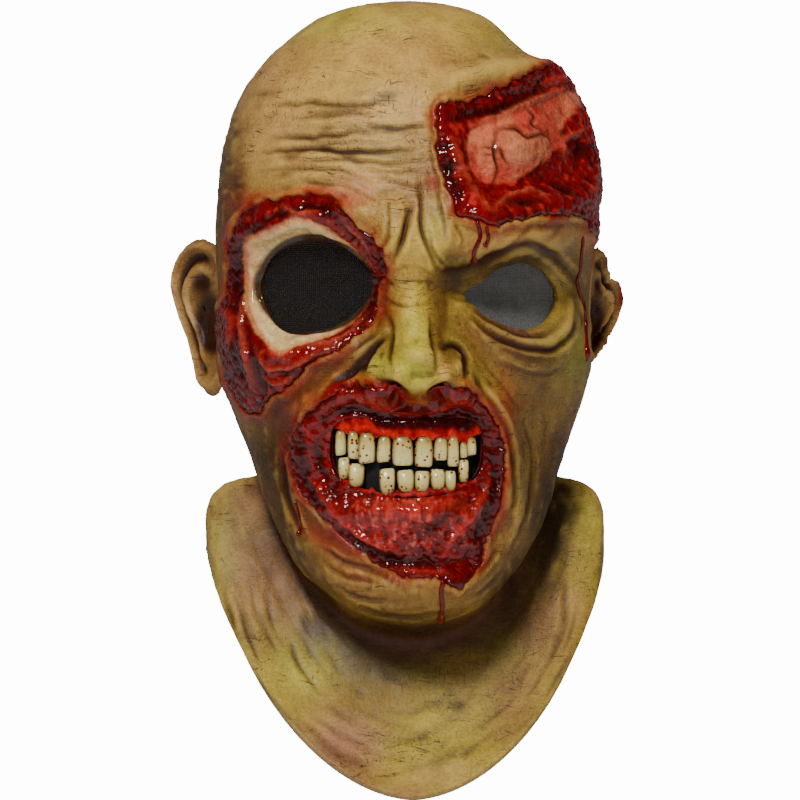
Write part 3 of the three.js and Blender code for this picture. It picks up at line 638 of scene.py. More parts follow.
CREASES: tuple[Stroke, ...] = (
    # The forehead's long wrinkles
    Stroke(((268, 108), (300, 103), (345, 105), (393, 102)), 2.2, 1.0, 1.1),
    Stroke(((285, 119), (330, 116), (385, 113)), 2.0, 0.8, 0.9),
    Stroke(((365, 124), (395, 128), (427, 126)), 2.2, 1.1, 1.3),
    Stroke(((270, 138), (320, 137), (350, 133), (378, 134)), 2.2, 1.0, 1.1),
    Stroke(((262, 152), (310, 150), (360, 152), (400, 151), (420, 149)), 2.2, 1.2, 1.4),
    Stroke(((290, 163), (340, 160), (385, 164), (432, 160)), 2.0, 0.8, 0.9),
    Stroke(((258, 172), (300, 168), (340, 171), (372, 184)), 2.0, 0.8, 0.8),
    Stroke(((366, 171), (395, 173), (424, 172)), 1.7, 0.6, 0.6),
    Stroke(((275, 186), (310, 182), (350, 188), (380, 204)), 1.8, 0.6, 0.5),
    Stroke(((300, 84), (340, 82), (400, 86)), 1.5, 0.35, 0.4),
    Stroke(((420, 92), (380, 93), (330, 95)), 1.5, 0.35, 0.4),
    Stroke(((300, 112), (345, 111), (372, 108)), 2.0, 0.7, 1.0),
    Stroke(((338, 127), (372, 130), (402, 134), (430, 134)), 1.5, 0.6, 0.8),
    Stroke(((300, 145), (345, 143), (395, 144)), 1.5, 0.6, 0.7),
    Stroke(((372, 158), (400, 157), (430, 154)), 1.5, 0.6, 0.8),
    Stroke(((320, 176), (350, 180), (372, 192)), 1.5, 0.6, 0.8),
    Stroke(((380, 180), (402, 183), (418, 190)), 1.5, 0.6, 0.8),
    # The furrows between the brows
    Stroke(((411, 204), (408, 218), (402, 240), (393, 262)), 3.4, 2.4, 0.9),
    Stroke(((419, 178), (420, 206), (423, 238), (438, 270)), 2.3, 1.6, 0.9),
    Stroke(((437, 182), (440, 208), (448, 242)), 1.8, 0.9, 0.8),
    Stroke(((386, 196), (389, 222), (384, 246), (378, 262)), 2.0, 0.9, 0.6),
    Stroke(((428, 232), (432, 250), (446, 268)), 1.6, 0.8, 0.7),
    Stroke(((455, 222), (462, 238), (461, 254)), 1.6, 0.7, 0.6),
    Stroke(((533, 223), (518, 237), (505, 250)), 1.8, 0.8, 0.7),
    Stroke(((563, 225), (551, 237), (540, 244)), 1.6, 0.6, 0.6),
    Stroke(((500, 224), (488, 240), (482, 254)), 1.6, 0.6, 0.5),
    # Under the brow and round the lids on the right
    Stroke(((436, 272), (455, 271), (476, 265), (502, 252), (530, 245), (556, 258), (577, 282)),
           4.0, 1.8, 0.9),
    Stroke(((452, 296), (465, 300), (480, 304)), 1.7, 0.8, 0.8),
    Stroke(((452, 288), (464, 294), (478, 296)), 1.5, 0.6, 0.6),
    Stroke(((472, 318), (500, 340), (529, 349), (556, 348), (573, 332), (577, 306)), 2.8, 1.5, 1.2),
    Stroke(((470, 306), (484, 319), (505, 330), (528, 336), (548, 333), (562, 319), (566, 302)),
           1.9, 0.9, 0.9),
    Stroke(((476, 330), (511, 353), (537, 359), (566, 354)), 1.6, 0.5, 0.5),
    Stroke(((574, 300), (582, 318), (580, 336)), 1.6, 0.6, 0.6),
    # The nose: its bridge, the grooves over its wings, and under it
    Stroke(((384, 298), (398, 305), (413, 306), (432, 303)), 1.8, 0.9, 0.8),
    Stroke(((386, 286), (408, 281), (434, 283)), 1.6, 0.6, 0.6),
    Stroke(((390, 273), (408, 268), (430, 272)), 1.6, 0.6, 0.5),
    Stroke(((386, 312), (392, 330), (391, 352), (389, 372)), 2.4, 0.9, 0.8),
    Stroke(((432, 314), (431, 334), (434, 352), (437, 372)), 2.4, 0.9, 0.8),
    Stroke(((388, 338), (376, 346), (366, 358), (364, 374)), 3.2, 1.6, 1.5),
    Stroke(((440, 348), (454, 346), (464, 358), (466, 380)), 3.2, 1.6, 1.4),
    # The cheeks and the folds beside the mouth
    Stroke(((372, 352), (352, 372), (331, 392), (316, 404)), 4.2, 1.9, 1.9),
    Stroke(((380, 332), (360, 346), (340, 358)), 2.0, 0.8, 0.8),
    Stroke(((468, 368), (484, 392), (500, 418), (512, 452), (515, 496), (506, 536)), 3.0, 1.3, 1.0),
    Stroke(((292, 430), (283, 462), (290, 505), (306, 540)), 3.0, 1.3, 1.0),
    Stroke(((524, 420), (532, 462), (526, 512), (508, 556)), 2.2, 0.7, 0.6),
    Stroke(((280, 400), (272, 430), (276, 470)), 2.2, 0.6, 0.6),
    Stroke(((500, 364), (520, 372), (546, 374), (566, 366)), 1.6, 0.5, 0.6),
    Stroke(((540, 392), (546, 424), (542, 462)), 1.6, 0.5, 0.5),
    Stroke(((478, 356), (500, 384), (520, 410)), 1.6, 0.5, 0.5),
    Stroke(((300, 394), (296, 420), (286, 444)), 1.8, 0.6, 0.7),
    Stroke(((378, 268), (386, 278), (398, 290)), 1.5, 0.6, 0.8),
    Stroke(((380, 292), (374, 310), (372, 332)), 1.5, 0.6, 0.7),
    # The chin
    Stroke(((320, 546), (345, 560), (372, 570), (392, 574)), 2.2, 1.0, 0.9),
    Stroke(((322, 562), (346, 576), (378, 584)), 1.9, 0.8, 0.8),
    Stroke(((334, 585), (362, 598), (398, 602)), 1.8, 0.7, 0.7),
    Stroke(((352, 606), (384, 614), (420, 616), (452, 610)), 1.8, 0.6, 0.6),
    Stroke(((470, 580), (486, 566), (498, 548)), 2.0, 0.8, 0.7),
    Stroke(((462, 600), (484, 590), (504, 568)), 1.8, 0.6, 0.6),
    # The neck
    Stroke(((262, 500), (290, 560), (318, 612), (350, 650)), 2.6, 0.8, 0.5),
    Stroke(((560, 500), (545, 560), (520, 612), (486, 650)), 2.6, 0.8, 0.5),
    Stroke(((240, 500), (262, 560), (296, 630)), 2.2, 0.6, 0.4),
    Stroke(((580, 500), (566, 560), (540, 630)), 2.2, 0.6, 0.4),
    *neck_lines(),
)

RIDGES: tuple[Stroke, ...] = (
    Stroke(((401, 196), (398, 220), (390, 248)), 4.5, 1.1),
    Stroke(((429, 190), (431, 222), (440, 252)), 5.0, 1.3),
    Stroke(((470, 250), (500, 236), (540, 232), (572, 250)), 7.0, 1.2),
    Stroke(((486, 325), (512, 341), (542, 343), (566, 330)), 4.0, 1.1),
    Stroke(((470, 330), (505, 360), (545, 366), (575, 350)), 6.0, 1.0),
    Stroke(((360, 378), (340, 394), (322, 414)), 6.0, 1.2),
    Stroke(((280, 144), (330, 143), (400, 142)), 3.5, 0.5),
    Stroke(((275, 178), (330, 176), (380, 190)), 4.0, 0.6),
    Stroke(((330, 590), (372, 606), (440, 606)), 5.0, 0.6),
)

# The nostrils, dents with painted shade in them: middle and half sizes
NOSTRILS: tuple[tuple[float, float, float, float, float], ...] = (
    (392.0, 389.0, 15.0, 6.5, 25.0),
    (441.0, 391.0, 13.0, 6.5, -25.0),
)

# Torn outlines
FOREHEAD_TEAR = (
    (437, 107), (452, 101), (470, 101), (497, 90), (527, 76), (553, 65), (572, 66), (596, 74), (614, 116),
    (618, 146), (618, 182), (614, 212), (604, 238), (590, 232), (577, 215), (540, 217), (511, 220),
    (493, 226), (472, 219), (455, 216), (454, 201), (446, 182), (439, 162), (437, 136))
SKULL_PLATE = (
    (468, 131), (501, 117), (533, 102), (554, 93), (574, 91), (580, 108), (562, 124), (561, 141),
    (550, 156), (530, 173), (510, 182), (495, 184), (471, 178), (465, 155))
SOCKET_TEAR = (
    (241, 219), (258, 205), (287, 198), (315, 195), (338, 203), (352, 222), (371, 235), (385, 257),
    (388, 272), (378, 289), (375, 318), (354, 338), (340, 351), (315, 360), (302, 372), (288, 388),
    (272, 396), (259, 414), (245, 407), (229, 381), (222, 353), (217, 318), (228, 295), (230, 267),
    (231, 237))
BONE_RIM = (
    (246, 239), (265, 231), (284, 222), (298, 217), (316, 221), (336, 231), (358, 250), (370, 268),
    (372, 292), (361, 314), (352, 325), (334, 337), (308, 345), (292, 352), (281, 357), (271, 348),
    (261, 339), (252, 324), (245, 304), (247, 281), (245, 261))
MOUTH_TEAR = (
    (290, 444), (303, 420), (320, 402), (343, 389), (367, 385), (392, 394), (411, 404), (434, 400),
    (462, 387), (483, 404), (500, 433), (504, 469), (499, 508), (484, 540), (479, 563), (461, 589),
    (441, 580), (402, 577), (387, 569), (366, 553), (342, 534), (317, 513), (302, 492), (293, 463))


def shade(red: int, green: int, blue: int) -> Array:
    """Returns a display colour of 0 to 255 as linear light, deepened for the render's soft film response.

    With m the strongest of the three as a share of 255, each is m^2.2 (c / m)^3.3.
    """
    top = max(red, green, blue)
    return (top / 255) ** 2.2 * (np.array([red, green, blue]) / top) ** 3.3


OLIVE = shade(190, 164, 104)
MOSS = shade(168, 168, 78)
# Umber paint, also laid as painted shade on the sides of the face and nose, under the jaw and down the neck.
UMBER_SHADE = shade(92, 70, 42)
SHADOW = shade(40, 30, 18)
MAUVE = shade(160, 118, 104)
ROSE = shade(196, 140, 118)
LEMON = shade(206, 200, 96)
BLOOD_MIST = shade(182, 46, 26)
DRIED = shade(88, 22, 18)

# Skin, and the painted shade of its sides
PALE_OLIVE = shade(176, 156, 84)
SIDE_BROWN_SHADE = shade(78, 58, 34)
# Wounds, with painted shade at the socket's seat and painted highlights on the gum's raised streaks
PLATE_RED = shade(206, 104, 88)
PLATE_PALE = shade(226, 168, 132)
BONE_RED = shade(218, 108, 70)
BONE_YELLOW = shade(216, 184, 124)
SEAT_SHADE = shade(30, 18, 12)
STREAK_HIGHLIGHT = shade(222, 104, 84)
BUBBLE_RED = shade(208, 64, 58)
PIT_RED = shade(60, 6, 8)
GRIT_PINK = shade(232, 150, 138)
RUN_RED = shade(104, 8, 9)
# Ears, with painted shade in their hollows and painted light on their crests
EAR_TAN = shade(190, 160, 112)
EAR_BROWN = shade(152, 120, 80)
EAR_HOLLOW_SHADE = shade(52, 32, 18)
EAR_CREST_LIGHT = shade(206, 176, 124)
# Teeth and gums; the tartar colour also serves as painted shade at the teeth's sides
IVORY_NECK = shade(196, 176, 108)
IVORY_TIP = shade(236, 224, 164)
TARTAR_AND_SHADE = shade(96, 72, 30)
GUM_DARK = shade(150, 22, 20)
GUM_BRIGHT = shade(222, 70, 54)
BLOOD_SPECK = shade(126, 20, 12)
# Painted shade in the folds, hollows and wound edges, painted light on the crests, scratches, blood and the
# bare inside
CREST_LIGHT = shade(216, 190, 118)
HOLLOW_SHADE = shade(72, 46, 24)
FOLD_SHADE = shade(52, 30, 14)
SCRATCH_INK = shade(60, 44, 24)
BLOOD_HALO = shade(140, 24, 20)
WOUND_EDGE_SHADE = shade(74, 6, 8)
BARE_LATEX = shade(176, 158, 118)

DABS: tuple[Dab, ...] = (
    # The crown and temples, with painted shade down the left temple and painted light on the forehead
    Dab(390, 60, 110, 60, shade(208, 174, 120), 0.55),
    Dab(300, 110, 60, 70, OLIVE, 0.4),
    Dab(228, 190, 30, 150, shade(108, 82, 50), 0.85, 4),
    Dab(262, 80, 36, 60, shade(188, 150, 120), 0.45, 30),
    Dab(330, 20, 90, 22, MOSS, 0.4),
    Dab(500, 45, 40, 22, MOSS, 0.35),
    Dab(460, 60, 40, 22, MAUVE, 0.25),
    Dab(292, 140, 40, 26, MAUVE, 0.3),
    Dab(400, 140, 60, 24, LEMON, 0.22),
    # Painted light: a lighter patch that stands in for more light on the forehead.
    Dab(330, 136, 96, 46, shade(214, 182, 130), 0.6),
    Dab(350, 190, 36, 18, ROSE, 0.6, 20),
    Dab(425, 165, 24, 40, MAUVE, 0.3),
    Dab(396, 225, 30, 34, OLIVE, 0.4),
    Dab(432, 225, 12, 40, MOSS, 0.35),
    Dab(226, 214, 18, 90, SHADOW, 0.5, 6),
    # The brow and eye on the right, with painted shade under the brow and at the eye's corners
    Dab(480, 252, 40, 22, shade(120, 88, 60), 0.6, 14),
    Dab(500, 240, 40, 16, shade(172, 128, 94), 0.7, 10),
    Dab(560, 236, 26, 18, MAUVE, 0.6, -20),
    Dab(520, 262, 60, 18, SHADOW, 0.85, 4),
    Dab(450, 278, 22, 20, SHADOW, 0.9),
    Dab(575, 290, 18, 36, SHADOW, 0.6, 10),
    Dab(520, 338, 52, 16, shade(112, 82, 76), 0.85, -6),
    Dab(570, 330, 14, 20, MAUVE, 0.5),
    Dab(572, 360, 26, 36, MOSS, 0.65),
    Dab(520, 392, 50, 30, shade(150, 118, 74), 0.5),
    Dab(480, 330, 22, 40, shade(120, 84, 50), 0.6),
    Dab(545, 440, 50, 50, shade(140, 122, 70), 0.5),
    # The nose, with painted shade down its sides, beside its wings and under it
    Dab(412, 300, 34, 40, shade(184, 148, 94), 0.6),
    Dab(414, 345, 18, 50, LEMON, 0.75),
    Dab(415, 372, 22, 20, LEMON, 0.8),
    Dab(393, 330, 8, 34, shade(140, 112, 58), 0.6, 4),
    Dab(437, 330, 9, 34, shade(130, 98, 52), 0.7, -4),
    Dab(382, 364, 14, 16, MOSS, 0.75),
    Dab(448, 368, 12, 16, shade(176, 140, 78), 0.7),
    Dab(385, 312, 9, 30, UMBER_SHADE, 0.5),
    Dab(440, 318, 9, 34, UMBER_SHADE, 0.6),
    Dab(372, 344, 16, 12, SHADOW, 0.75, 30),
    Dab(456, 352, 14, 10, SHADOW, 0.7, -30),
    Dab(415, 402, 34, 8, SHADOW, 0.85),
    # The cheeks, jaw and chin, darker toward the sides, underneath and in the fold beside the nose: partly
    # umber paint, partly painted shade
    Dab(528, 360, 46, 20, shade(70, 50, 38), 0.8, -10),
    Dab(558, 500, 30, 60, SHADOW, 0.75, -16),
    Dab(328, 388, 18, 44, shade(70, 40, 28), 0.85, -42),
    Dab(262, 560, 30, 44, UMBER_SHADE, 0.6, 30),
    Dab(545, 430, 62, 84, UMBER_SHADE, 0.55),
    Dab(275, 440, 40, 84, UMBER_SHADE, 0.8),
    Dab(400, 592, 104, 52, shade(120, 82, 46), 0.82),
    Dab(340, 376, 34, 16, shade(160, 110, 70), 0.6, 35),
    Dab(285, 440, 30, 60, shade(110, 84, 48), 0.7),
    Dab(560, 480, 26, 70, UMBER_SHADE, 0.85, -14),
    Dab(262, 470, 16, 60, SHADOW, 0.7, 10),
    Dab(305, 560, 26, 46, UMBER_SHADE, 0.75, 24),
    Dab(520, 560, 26, 52, UMBER_SHADE, 0.75, -24),
    Dab(400, 600, 70, 26, shade(150, 128, 70), 0.5),
    Dab(365, 575, 30, 14, shade(150, 92, 44), 0.5, 16),
    Dab(330, 530, 16, 34, shade(156, 100, 52), 0.5, 24),
    # The shadow under the chin, the neck and the bib
    Dab(405, 640, 150, 30, SHADOW, 0.97),
    Dab(408, 670, 74, 26, shade(50, 40, 22), 0.93),
    Dab(322, 604, 15, 44, SHADOW, 0.9, 34),
    Dab(515, 605, 34, 46, SHADOW, 0.95, -36),
    Dab(284, 526, 16, 60, SHADOW, 0.8, 14),
    Dab(278, 590, 22, 50, shade(146, 114, 72), 0.8, 20),
    Dab(552, 530, 24, 70, SHADOW, 0.9, -14),
    Dab(230, 540, 26, 70, shade(172, 150, 112), 0.6),
    Dab(246, 500, 22, 24, MAUVE, 0.35),
    Dab(590, 560, 26, 70, shade(150, 138, 78), 0.5),
    Dab(345, 740, 44, 30, shade(184, 150, 128), 0.7, -10),
    Dab(430, 730, 60, 44, LEMON, 0.3),
    Dab(290, 670, 40, 46, shade(176, 164, 98), 0.5),
    Dab(520, 690, 50, 46, shade(160, 152, 84), 0.5),
    Dab(420, 690, 60, 20, shade(130, 118, 66), 0.5),
    Dab(222, 560, 14, 70, shade(168, 160, 92), 0.55),
    Dab(248, 596, 14, 46, MAUVE, 0.3, 12),
    Dab(264, 640, 24, 20, shade(176, 156, 96), 0.6),
    Dab(520, 696, 26, 44, shade(146, 112, 78), 0.6, -24),
    Dab(300, 676, 44, 26, LEMON, 0.4, 20),
    Dab(372, 702, 44, 18, shade(118, 96, 56), 0.45, 10),
    Dab(470, 668, 60, 20, shade(116, 96, 54), 0.5, -14),
    Dab(548, 640, 30, 46, shade(140, 112, 72), 0.5, 20),
    Dab(345, 752, 34, 20, MAUVE, 0.45),
    Dab(440, 770, 44, 16, shade(188, 164, 116), 0.5),
    Dab(588, 520, 14, 30, LEMON, 0.35),
    # Airbrushed blood round the wounds
    Dab(486, 98, 58, 14, BLOOD_MIST, 0.9, 24),
    Dab(556, 66, 30, 12, BLOOD_MIST, 0.8, -30),
    Dab(300, 200, 60, 11, BLOOD_MIST, 0.8),
    Dab(378, 268, 12, 44, BLOOD_MIST, 0.7, 8),
    Dab(240, 300, 14, 90, BLOOD_MIST, 0.7),
    Dab(430, 184, 8, 11, shade(150, 62, 34), 0.8),
    Dab(300, 450, 14, 60, BLOOD_MIST, 0.6),
    Dab(505, 450, 12, 70, BLOOD_MIST, 0.55),
    Dab(412, 406, 90, 8, BLOOD_MIST, 0.7),
    Dab(330, 545, 40, 9, BLOOD_MIST, 0.5, -36),
    Dab(300, 402, 20, 8, shade(184, 122, 84), 0.8, 40),
    Dab(340, 394, 26, 6, shade(184, 128, 84), 0.7, 42),
    # Painted shade in the fold beside the nose.
    Dab(356, 366, 18, 7, shade(60, 30, 18), 0.7, 42),
    Dab(300, 378, 26, 12, BLOOD_MIST, 0.5, 30),
    Dab(598, 290, 9, 90, BLOOD_MIST, 0.5, 3),
    Dab(294, 462, 14, 50, DRIED, 0.75, 8),
    Dab(322, 532, 34, 10, DRIED, 0.7, -42),
    Dab(392, 584, 44, 8, DRIED, 0.6, -6),
    Dab(498, 510, 12, 60, DRIED, 0.7, -8),
    Dab(360, 396, 40, 9, DRIED, 0.5, 12),
    Dab(470, 400, 34, 9, DRIED, 0.5, -12),
    Dab(284, 408, 26, 12, DRIED, 0.7, 36),
    Dab(330, 364, 40, 8, DRIED, 0.6, 22),
    Dab(229, 366, 8, 60, DRIED, 0.7, -4),
    Dab(382, 300, 8, 30, DRIED, 0.6, -6),
    Dab(440, 116, 8, 20, DRIED, 0.4),
    Dab(520, 226, 60, 7, DRIED, 0.55, 2),
    Dab(302, 402, 16, 7, shade(190, 130, 90), 0.8, 42),
)


def relief(draw: Array, p: Array) -> tuple[Array, Array]:
    """The fine forms drawn on the skin, and the painted shade that lies in their creases and nostrils.

    A crease takes off depth exp(-(d/w)^2) and raises its banks by 0.45 depth exp(-((d - 2w)/1.3w)^2). A
    ridge adds depth exp(-(d/w)^2). Both thin out to nothing at their ends by sin^0.5 of the share along.

    Args:
        draw: drawing coordinates, (N, 2).
        p: points in millimetres, (N, 3).

    Returns:
        How far the skin stands out, in millimetres, and the painted shade from 0 to 1.
    """
    wobble = np.stack([noise(p, 7.0, 3), noise(p, 7.0, 4)], axis=-1) * 1.6
    drawn = draw + wobble
    lift, crease_shade = np.zeros(len(p)), np.zeros(len(p))
    for strokes, sign in ((CREASES, -1.0), (RIDGES, 1.0)):
        for stroke in strokes:
            path = smooth_path(stroke.points, 4)
            reach = 5.0 * stroke.width
            near = np.all((drawn > path.min(0) - reach) & (drawn < path.max(0) + reach), axis=1)
            if not near.any():
                continue
            gap, share = path_distance(drawn[near], path)
            ends = taper(share)
            inner = bell(gap, 0.0, stroke.width)
            if sign > 0:
                lift[near] += stroke.depth * inner * ends
                continue
            banks = bell(gap, 2 * stroke.width, 1.3 * stroke.width)
            lift[near] += stroke.depth * ends * (0.45 * banks - inner)
            crease_shade[near] = np.maximum(crease_shade[near], stroke.dark * ends * inner)
    # The nostrils: dents with painted shade in them.
    for x, y, rx, ry, turn in NOSTRILS:
        u, v = rotated(draw[:, 0] - x, draw[:, 1] - y, turn)
        hole = np.exp(-(((u / rx) ** 2 + (v / ry) ** 2) ** 1.5))
        lift -= 4.5 * hole
        crease_shade = np.maximum(crease_shade, 2.2 * hole)
    return lift, np.clip(crease_shade, 0.0, 2.0)


# Where relief and colour change on the drawing: from a coordinate to another
FACE_ENDS = (640, 560)
LINES_END = (640, 600)
BROW_ENDS = (215, 190)
CROWN_ENDS = (60, 110)
RIM_SIDE_SHADE = (272.0, 240.0)
RIM_REDDENS = (268, 250)
LOWER_LIP = (528, 556)
LIP_CORNER = (462, 482)
EAR_TEAR_SIDE = (612, 622)
EAR_TEAR_TOP = (262, 274)
EAR_TEAR_FOOT = (322, 300)

# Patches of the drawing: their middle and their half sizes
SKULL_BOSS = (519, 152, 17, 15)
SOCKET_SEAT = (313, 285, 58.5, 49.0)
GUM_STREAKS = (409, 511, 52, 15)
LIP_BUBBLES = (384, 534, 26, 14)
LIP_GRAIN = (400, 524, 84, 32)
EAR_NOTCH = (612, 263, 6, 7)

# Where the tears end at the side of the head: the angle, and drawing units per radian near it
SIDE_END = 1.58
SIDE_UNITS = 160.0
# How deep a point counts as lying in a tear that is nowhere near it
OUTSIDE = -60.0


def oval_reach(draw: Array, x: float, y: float, rx: float, ry: float) -> Array:
    """Returns u^2 + v^2 about a drawn point, which is 1 on the oval of half sizes rx and ry."""
    return ((draw[:, 0] - x) / rx) ** 2 + ((draw[:, 1] - y) / ry) ** 2


def oval(draw: Array, x: float, y: float, rx: float, ry: float, power: float) -> Array:
    """Returns a patch exp(-(u^2 + v^2)^power) of half sizes rx and ry about a drawn point."""
    return np.exp(-(oval_reach(draw, x, y, rx, ry) ** power))


def torn(draw: Array, p: Array, outline: tuple, ragged: float = 2.8) -> Array:
    """Returns how deep points lie inside a torn outline, in drawing units, with a ragged edge by noise."""
    loop = smooth_loop(outline, 3)
    depth = np.full(len(p), OUTSIDE)
    near = np.all((draw > loop.min(0) - 40) & (draw < loop.max(0) + 40), axis=1)
    rough = ragged * noise(p[near], 5.0, 11) + 0.6 * ragged * noise(p[near], 1.9, 12)
    depth[near] = inside_distance(draw[near], loop) + rough
    return depth


def wound_depth(angle: Array, draw: Array, p: Array, outline: tuple) -> Array:
    """Returns how deep points lie inside a tear, ended with a ragged edge where the head turns away."""
    turned = np.arccos(np.cos(angle))
    rough = 13.0 * noise(p, 8.0, 13, 2) + 24.0 * noise(p, 24.0, 14)
    side = SIDE_UNITS * (SIDE_END - turned) + rough
    return np.minimum(torn(draw, p, outline), side)


def facing(angle: Array) -> Array:
    """Returns 1 where the head faces the viewing point and 0 behind its edge."""
    return smoothstep(np.cos(angle), -0.28, -0.1)


def skin_lift(angle: Array, draw: Array, p: Array) -> tuple[Array, Array, Array]:
    """The skin's own relief, with its edges raised round the wounds and dropped inside them.

    Returns:
        The lift in millimetres, the painted shade of the creases and fine lines, and how deep a point lies
        in the nearest wound.
    """
    lift, crease_shade = relief(draw, p)
    front = facing(angle)
    wound = np.full(len(p), OUTSIDE)
    for outline in (FOREHEAD_TEAR, SOCKET_TEAR, MOUTH_TEAR):
        wound = np.maximum(wound, wound_depth(angle, draw, p, outline))
    edge = 1.5 * bell(wound, -3.0, 3.2)
    sunk = -2.4 * smoothstep(wound, -0.8, 2.2)
    face = smoothstep(draw[:, 1], *FACE_ENDS)
    brow = smoothstep(draw[:, 1], *BROW_ENDS)
    across = noise(p * np.array([0.16, 0.16, 1.0]), 2.4, 21, 2) * brow * smoothstep(draw[:, 1], *CROWN_ENDS)
    down = noise(p * np.array([1.0, 0.5, 0.22]), 2.2, 24, 2) * (1 - brow)
    lined = (across + 0.6 * down * smoothstep(draw[:, 1], *LINES_END)) * (0.3 + 0.7 * front)
    rough = 0.42 * noise(p, 9.0, 22, 2) + 0.24 * noise(p, 2.4, 23, 2) + 0.5 * lined
    total = front * (lift + edge + sunk) + rough * (0.45 + 0.55 * face)
    crease_shade = np.maximum(crease_shade, 0.6 * smoothstep(-lined, 0.18, 0.55))
    return total, crease_shade * front, wound


def paint(angle: Array, draw: Array, p: Array) -> Array:
    """The airbrushed colour of the skin, with painted shade down its sides and under the jaw: a base, then
    every dab laid on by exp(-(u^2 + v^2)^1.3).

    Returns:
        A linear colour for each point.
    """
    blotch = noise(p, 26.0, 31, 3)
    colour = stained(OLIVE, PALE_OLIVE, smoothstep(blotch, -0.3, 0.4))
    pink = smoothstep(noise(p, 34.0, 32, 3), 0.12, 0.5)
    colour = stained(colour, MAUVE, 0.42 * pink)
    # Painted shade: the sides of the head turn darker brown, partly brown paint and partly shade where they
    # turn from the light.
    side = 1.0 - smoothstep(np.cos(angle), -0.1, 0.55)
    side *= 1.0 - 0.55 * smoothstep(-np.cos(angle), 0.2, 0.8)
    head = smoothstep(p[:, 2], -240.0, -215.0)
    colour = stained(colour, SIDE_BROWN_SHADE, 0.85 * side * head)
    neck = bell(p[:, 2], -268.0, 26.0) * side
    colour = stained(colour, SHADOW, 0.8 * neck)
    front = facing(angle)
    soft = draw + 5.0 * np.stack([noise(p, 12.0, 33), noise(p, 12.0, 34)], axis=-1)
    for dab in DABS:
        u, v = rotated(soft[:, 0] - dab.x, soft[:, 1] - dab.y, -dab.turn)
        cover = dab.strength * np.exp(-(((u / dab.rx) ** 2 + (v / dab.ry) ** 2) ** 1.3)) * front
        colour = stained(colour, dab.colour, cover)
    return colour


# Meshes from grids


def grid_quads(rows: int, columns: int, wrap: bool = False) -> Array:
    """Returns the quads of a grid of points numbered row by row, facing down x across."""
    span = columns if wrap else columns - 1
    r, c = np.meshgrid(np.arange(rows - 1), np.arange(span), indexing="ij")
    n = (c + 1) % columns
    return np.stack([r * columns + c, (r + 1) * columns + c,
                     (r + 1) * columns + n, r * columns + n], axis=-1).reshape(-1, 4)


def end_caps(around: int, count: int) -> Array:
    """Returns the two faces that close a wrapped grid of count points, at its first and last ring."""
    ring = np.arange(around)
    return np.array([ring, ring[::-1] + count - around])


def chain(rim: Array, count: int) -> Array:
    """Puts the edges of a closed rim in order, by pointer doubling.

    Each point keeps its next point and the steps to it. Adding the next point's steps and taking its next
    point doubles the reach, until every point knows how many steps it is from the start.

    Args:
        rim: edges, (M, 2), each from a point to the next.
        count: how many points the mesh has.

    Returns:
        The rim's points in order, (M,).
    """
    names = rim[:, 0]
    place = np.zeros(count, int)
    place[names] = np.arange(len(names))
    after = place[rim[:, 1]]
    steps = np.ones(len(names), int)
    after[0], steps[0] = 0, 0
    for _ in range(int(np.ceil(np.log2(len(names)))) + 1):
        steps, after = steps + steps[after], after[after]
    return names[np.argsort(-steps, kind="stable")]


def zip_loops(a: Array, ta: Array, b: Array, tb: Array) -> Array:
    """Joins two loops that run the same way with triangles.

    Both are sorted by their share of the turn. Each edge of one loop takes as its third corner the point of
    the other loop that is current at the edge's middle.

    Args:
        a: points of the loop whose edges belong to the faces already made.
        ta: their shares of the turn.
        b: points of the other loop.
        tb: their shares of the turn.

    Returns:
        Triangles, (len(a) + len(b), 3).
    """
    order_a, order_b = np.argsort(ta, kind="stable"), np.argsort(tb, kind="stable")
    a, ta, b, tb = a[order_a], ta[order_a], b[order_b], tb[order_b]
    middle_a = (ta + np.append(ta[1:], ta[0] + 1)) / 2
    middle_b = (tb + np.append(tb[1:], tb[0] + 1)) / 2
    at_a = np.where(middle_a > middle_b[-1], middle_a - 1, middle_a)
    at_b = np.where(middle_b > middle_a[-1], middle_b - 1, middle_b)
    with_b = b[np.searchsorted(middle_b, at_a, side="left") % len(b)]
    with_a = a[np.searchsorted(middle_a, at_b, side="right") % len(a)]
    return np.concatenate([np.stack([np.roll(a, -1), a, with_b], axis=1),
                           np.stack([b, np.roll(b, -1), with_a], axis=1)])


# Limits of a value that may be anything
FREE = (-np.inf, np.inf)


def walk(flat: Callable, goal: Array, start: tuple[Array, Array], steps: int, reach: tuple[float, float],
         limits: tuple = (FREE, FREE)) -> tuple[Array, Array]:
    """Finds the angle and row position of places, by Newton's steps.

    Args:
        flat: the two coordinates of a place, as a function of angle and t.
        goal: the coordinates to come to, (N, 2).
        start: the angles and row positions to start from.
        steps: how many steps to take.
        reach: the longest step in angle and in t.
        limits: the lowest and highest angle, and the lowest and highest t.

    Returns:
        The angles and row positions.
    """
    angle, t = start
    for _ in range(steps):
        here = flat(angle, t)
        across = (flat(angle + STEP, t) - here) / STEP
        down = (flat(angle, t + STEP) - here) / STEP
        miss = goal - here
        area = across[:, 0] * down[:, 1] - across[:, 1] * down[:, 0]
        turn = (miss[:, 0] * down[:, 1] - miss[:, 1] * down[:, 0]) / area
        fall = (across[:, 0] * miss[:, 1] - across[:, 1] * miss[:, 0]) / area
        angle = np.clip(angle + np.clip(turn, -reach[0], reach[0]), *limits[0])
        t = np.clip(t + np.clip(fall, -reach[1], reach[1]), *limits[1])
    return angle, t


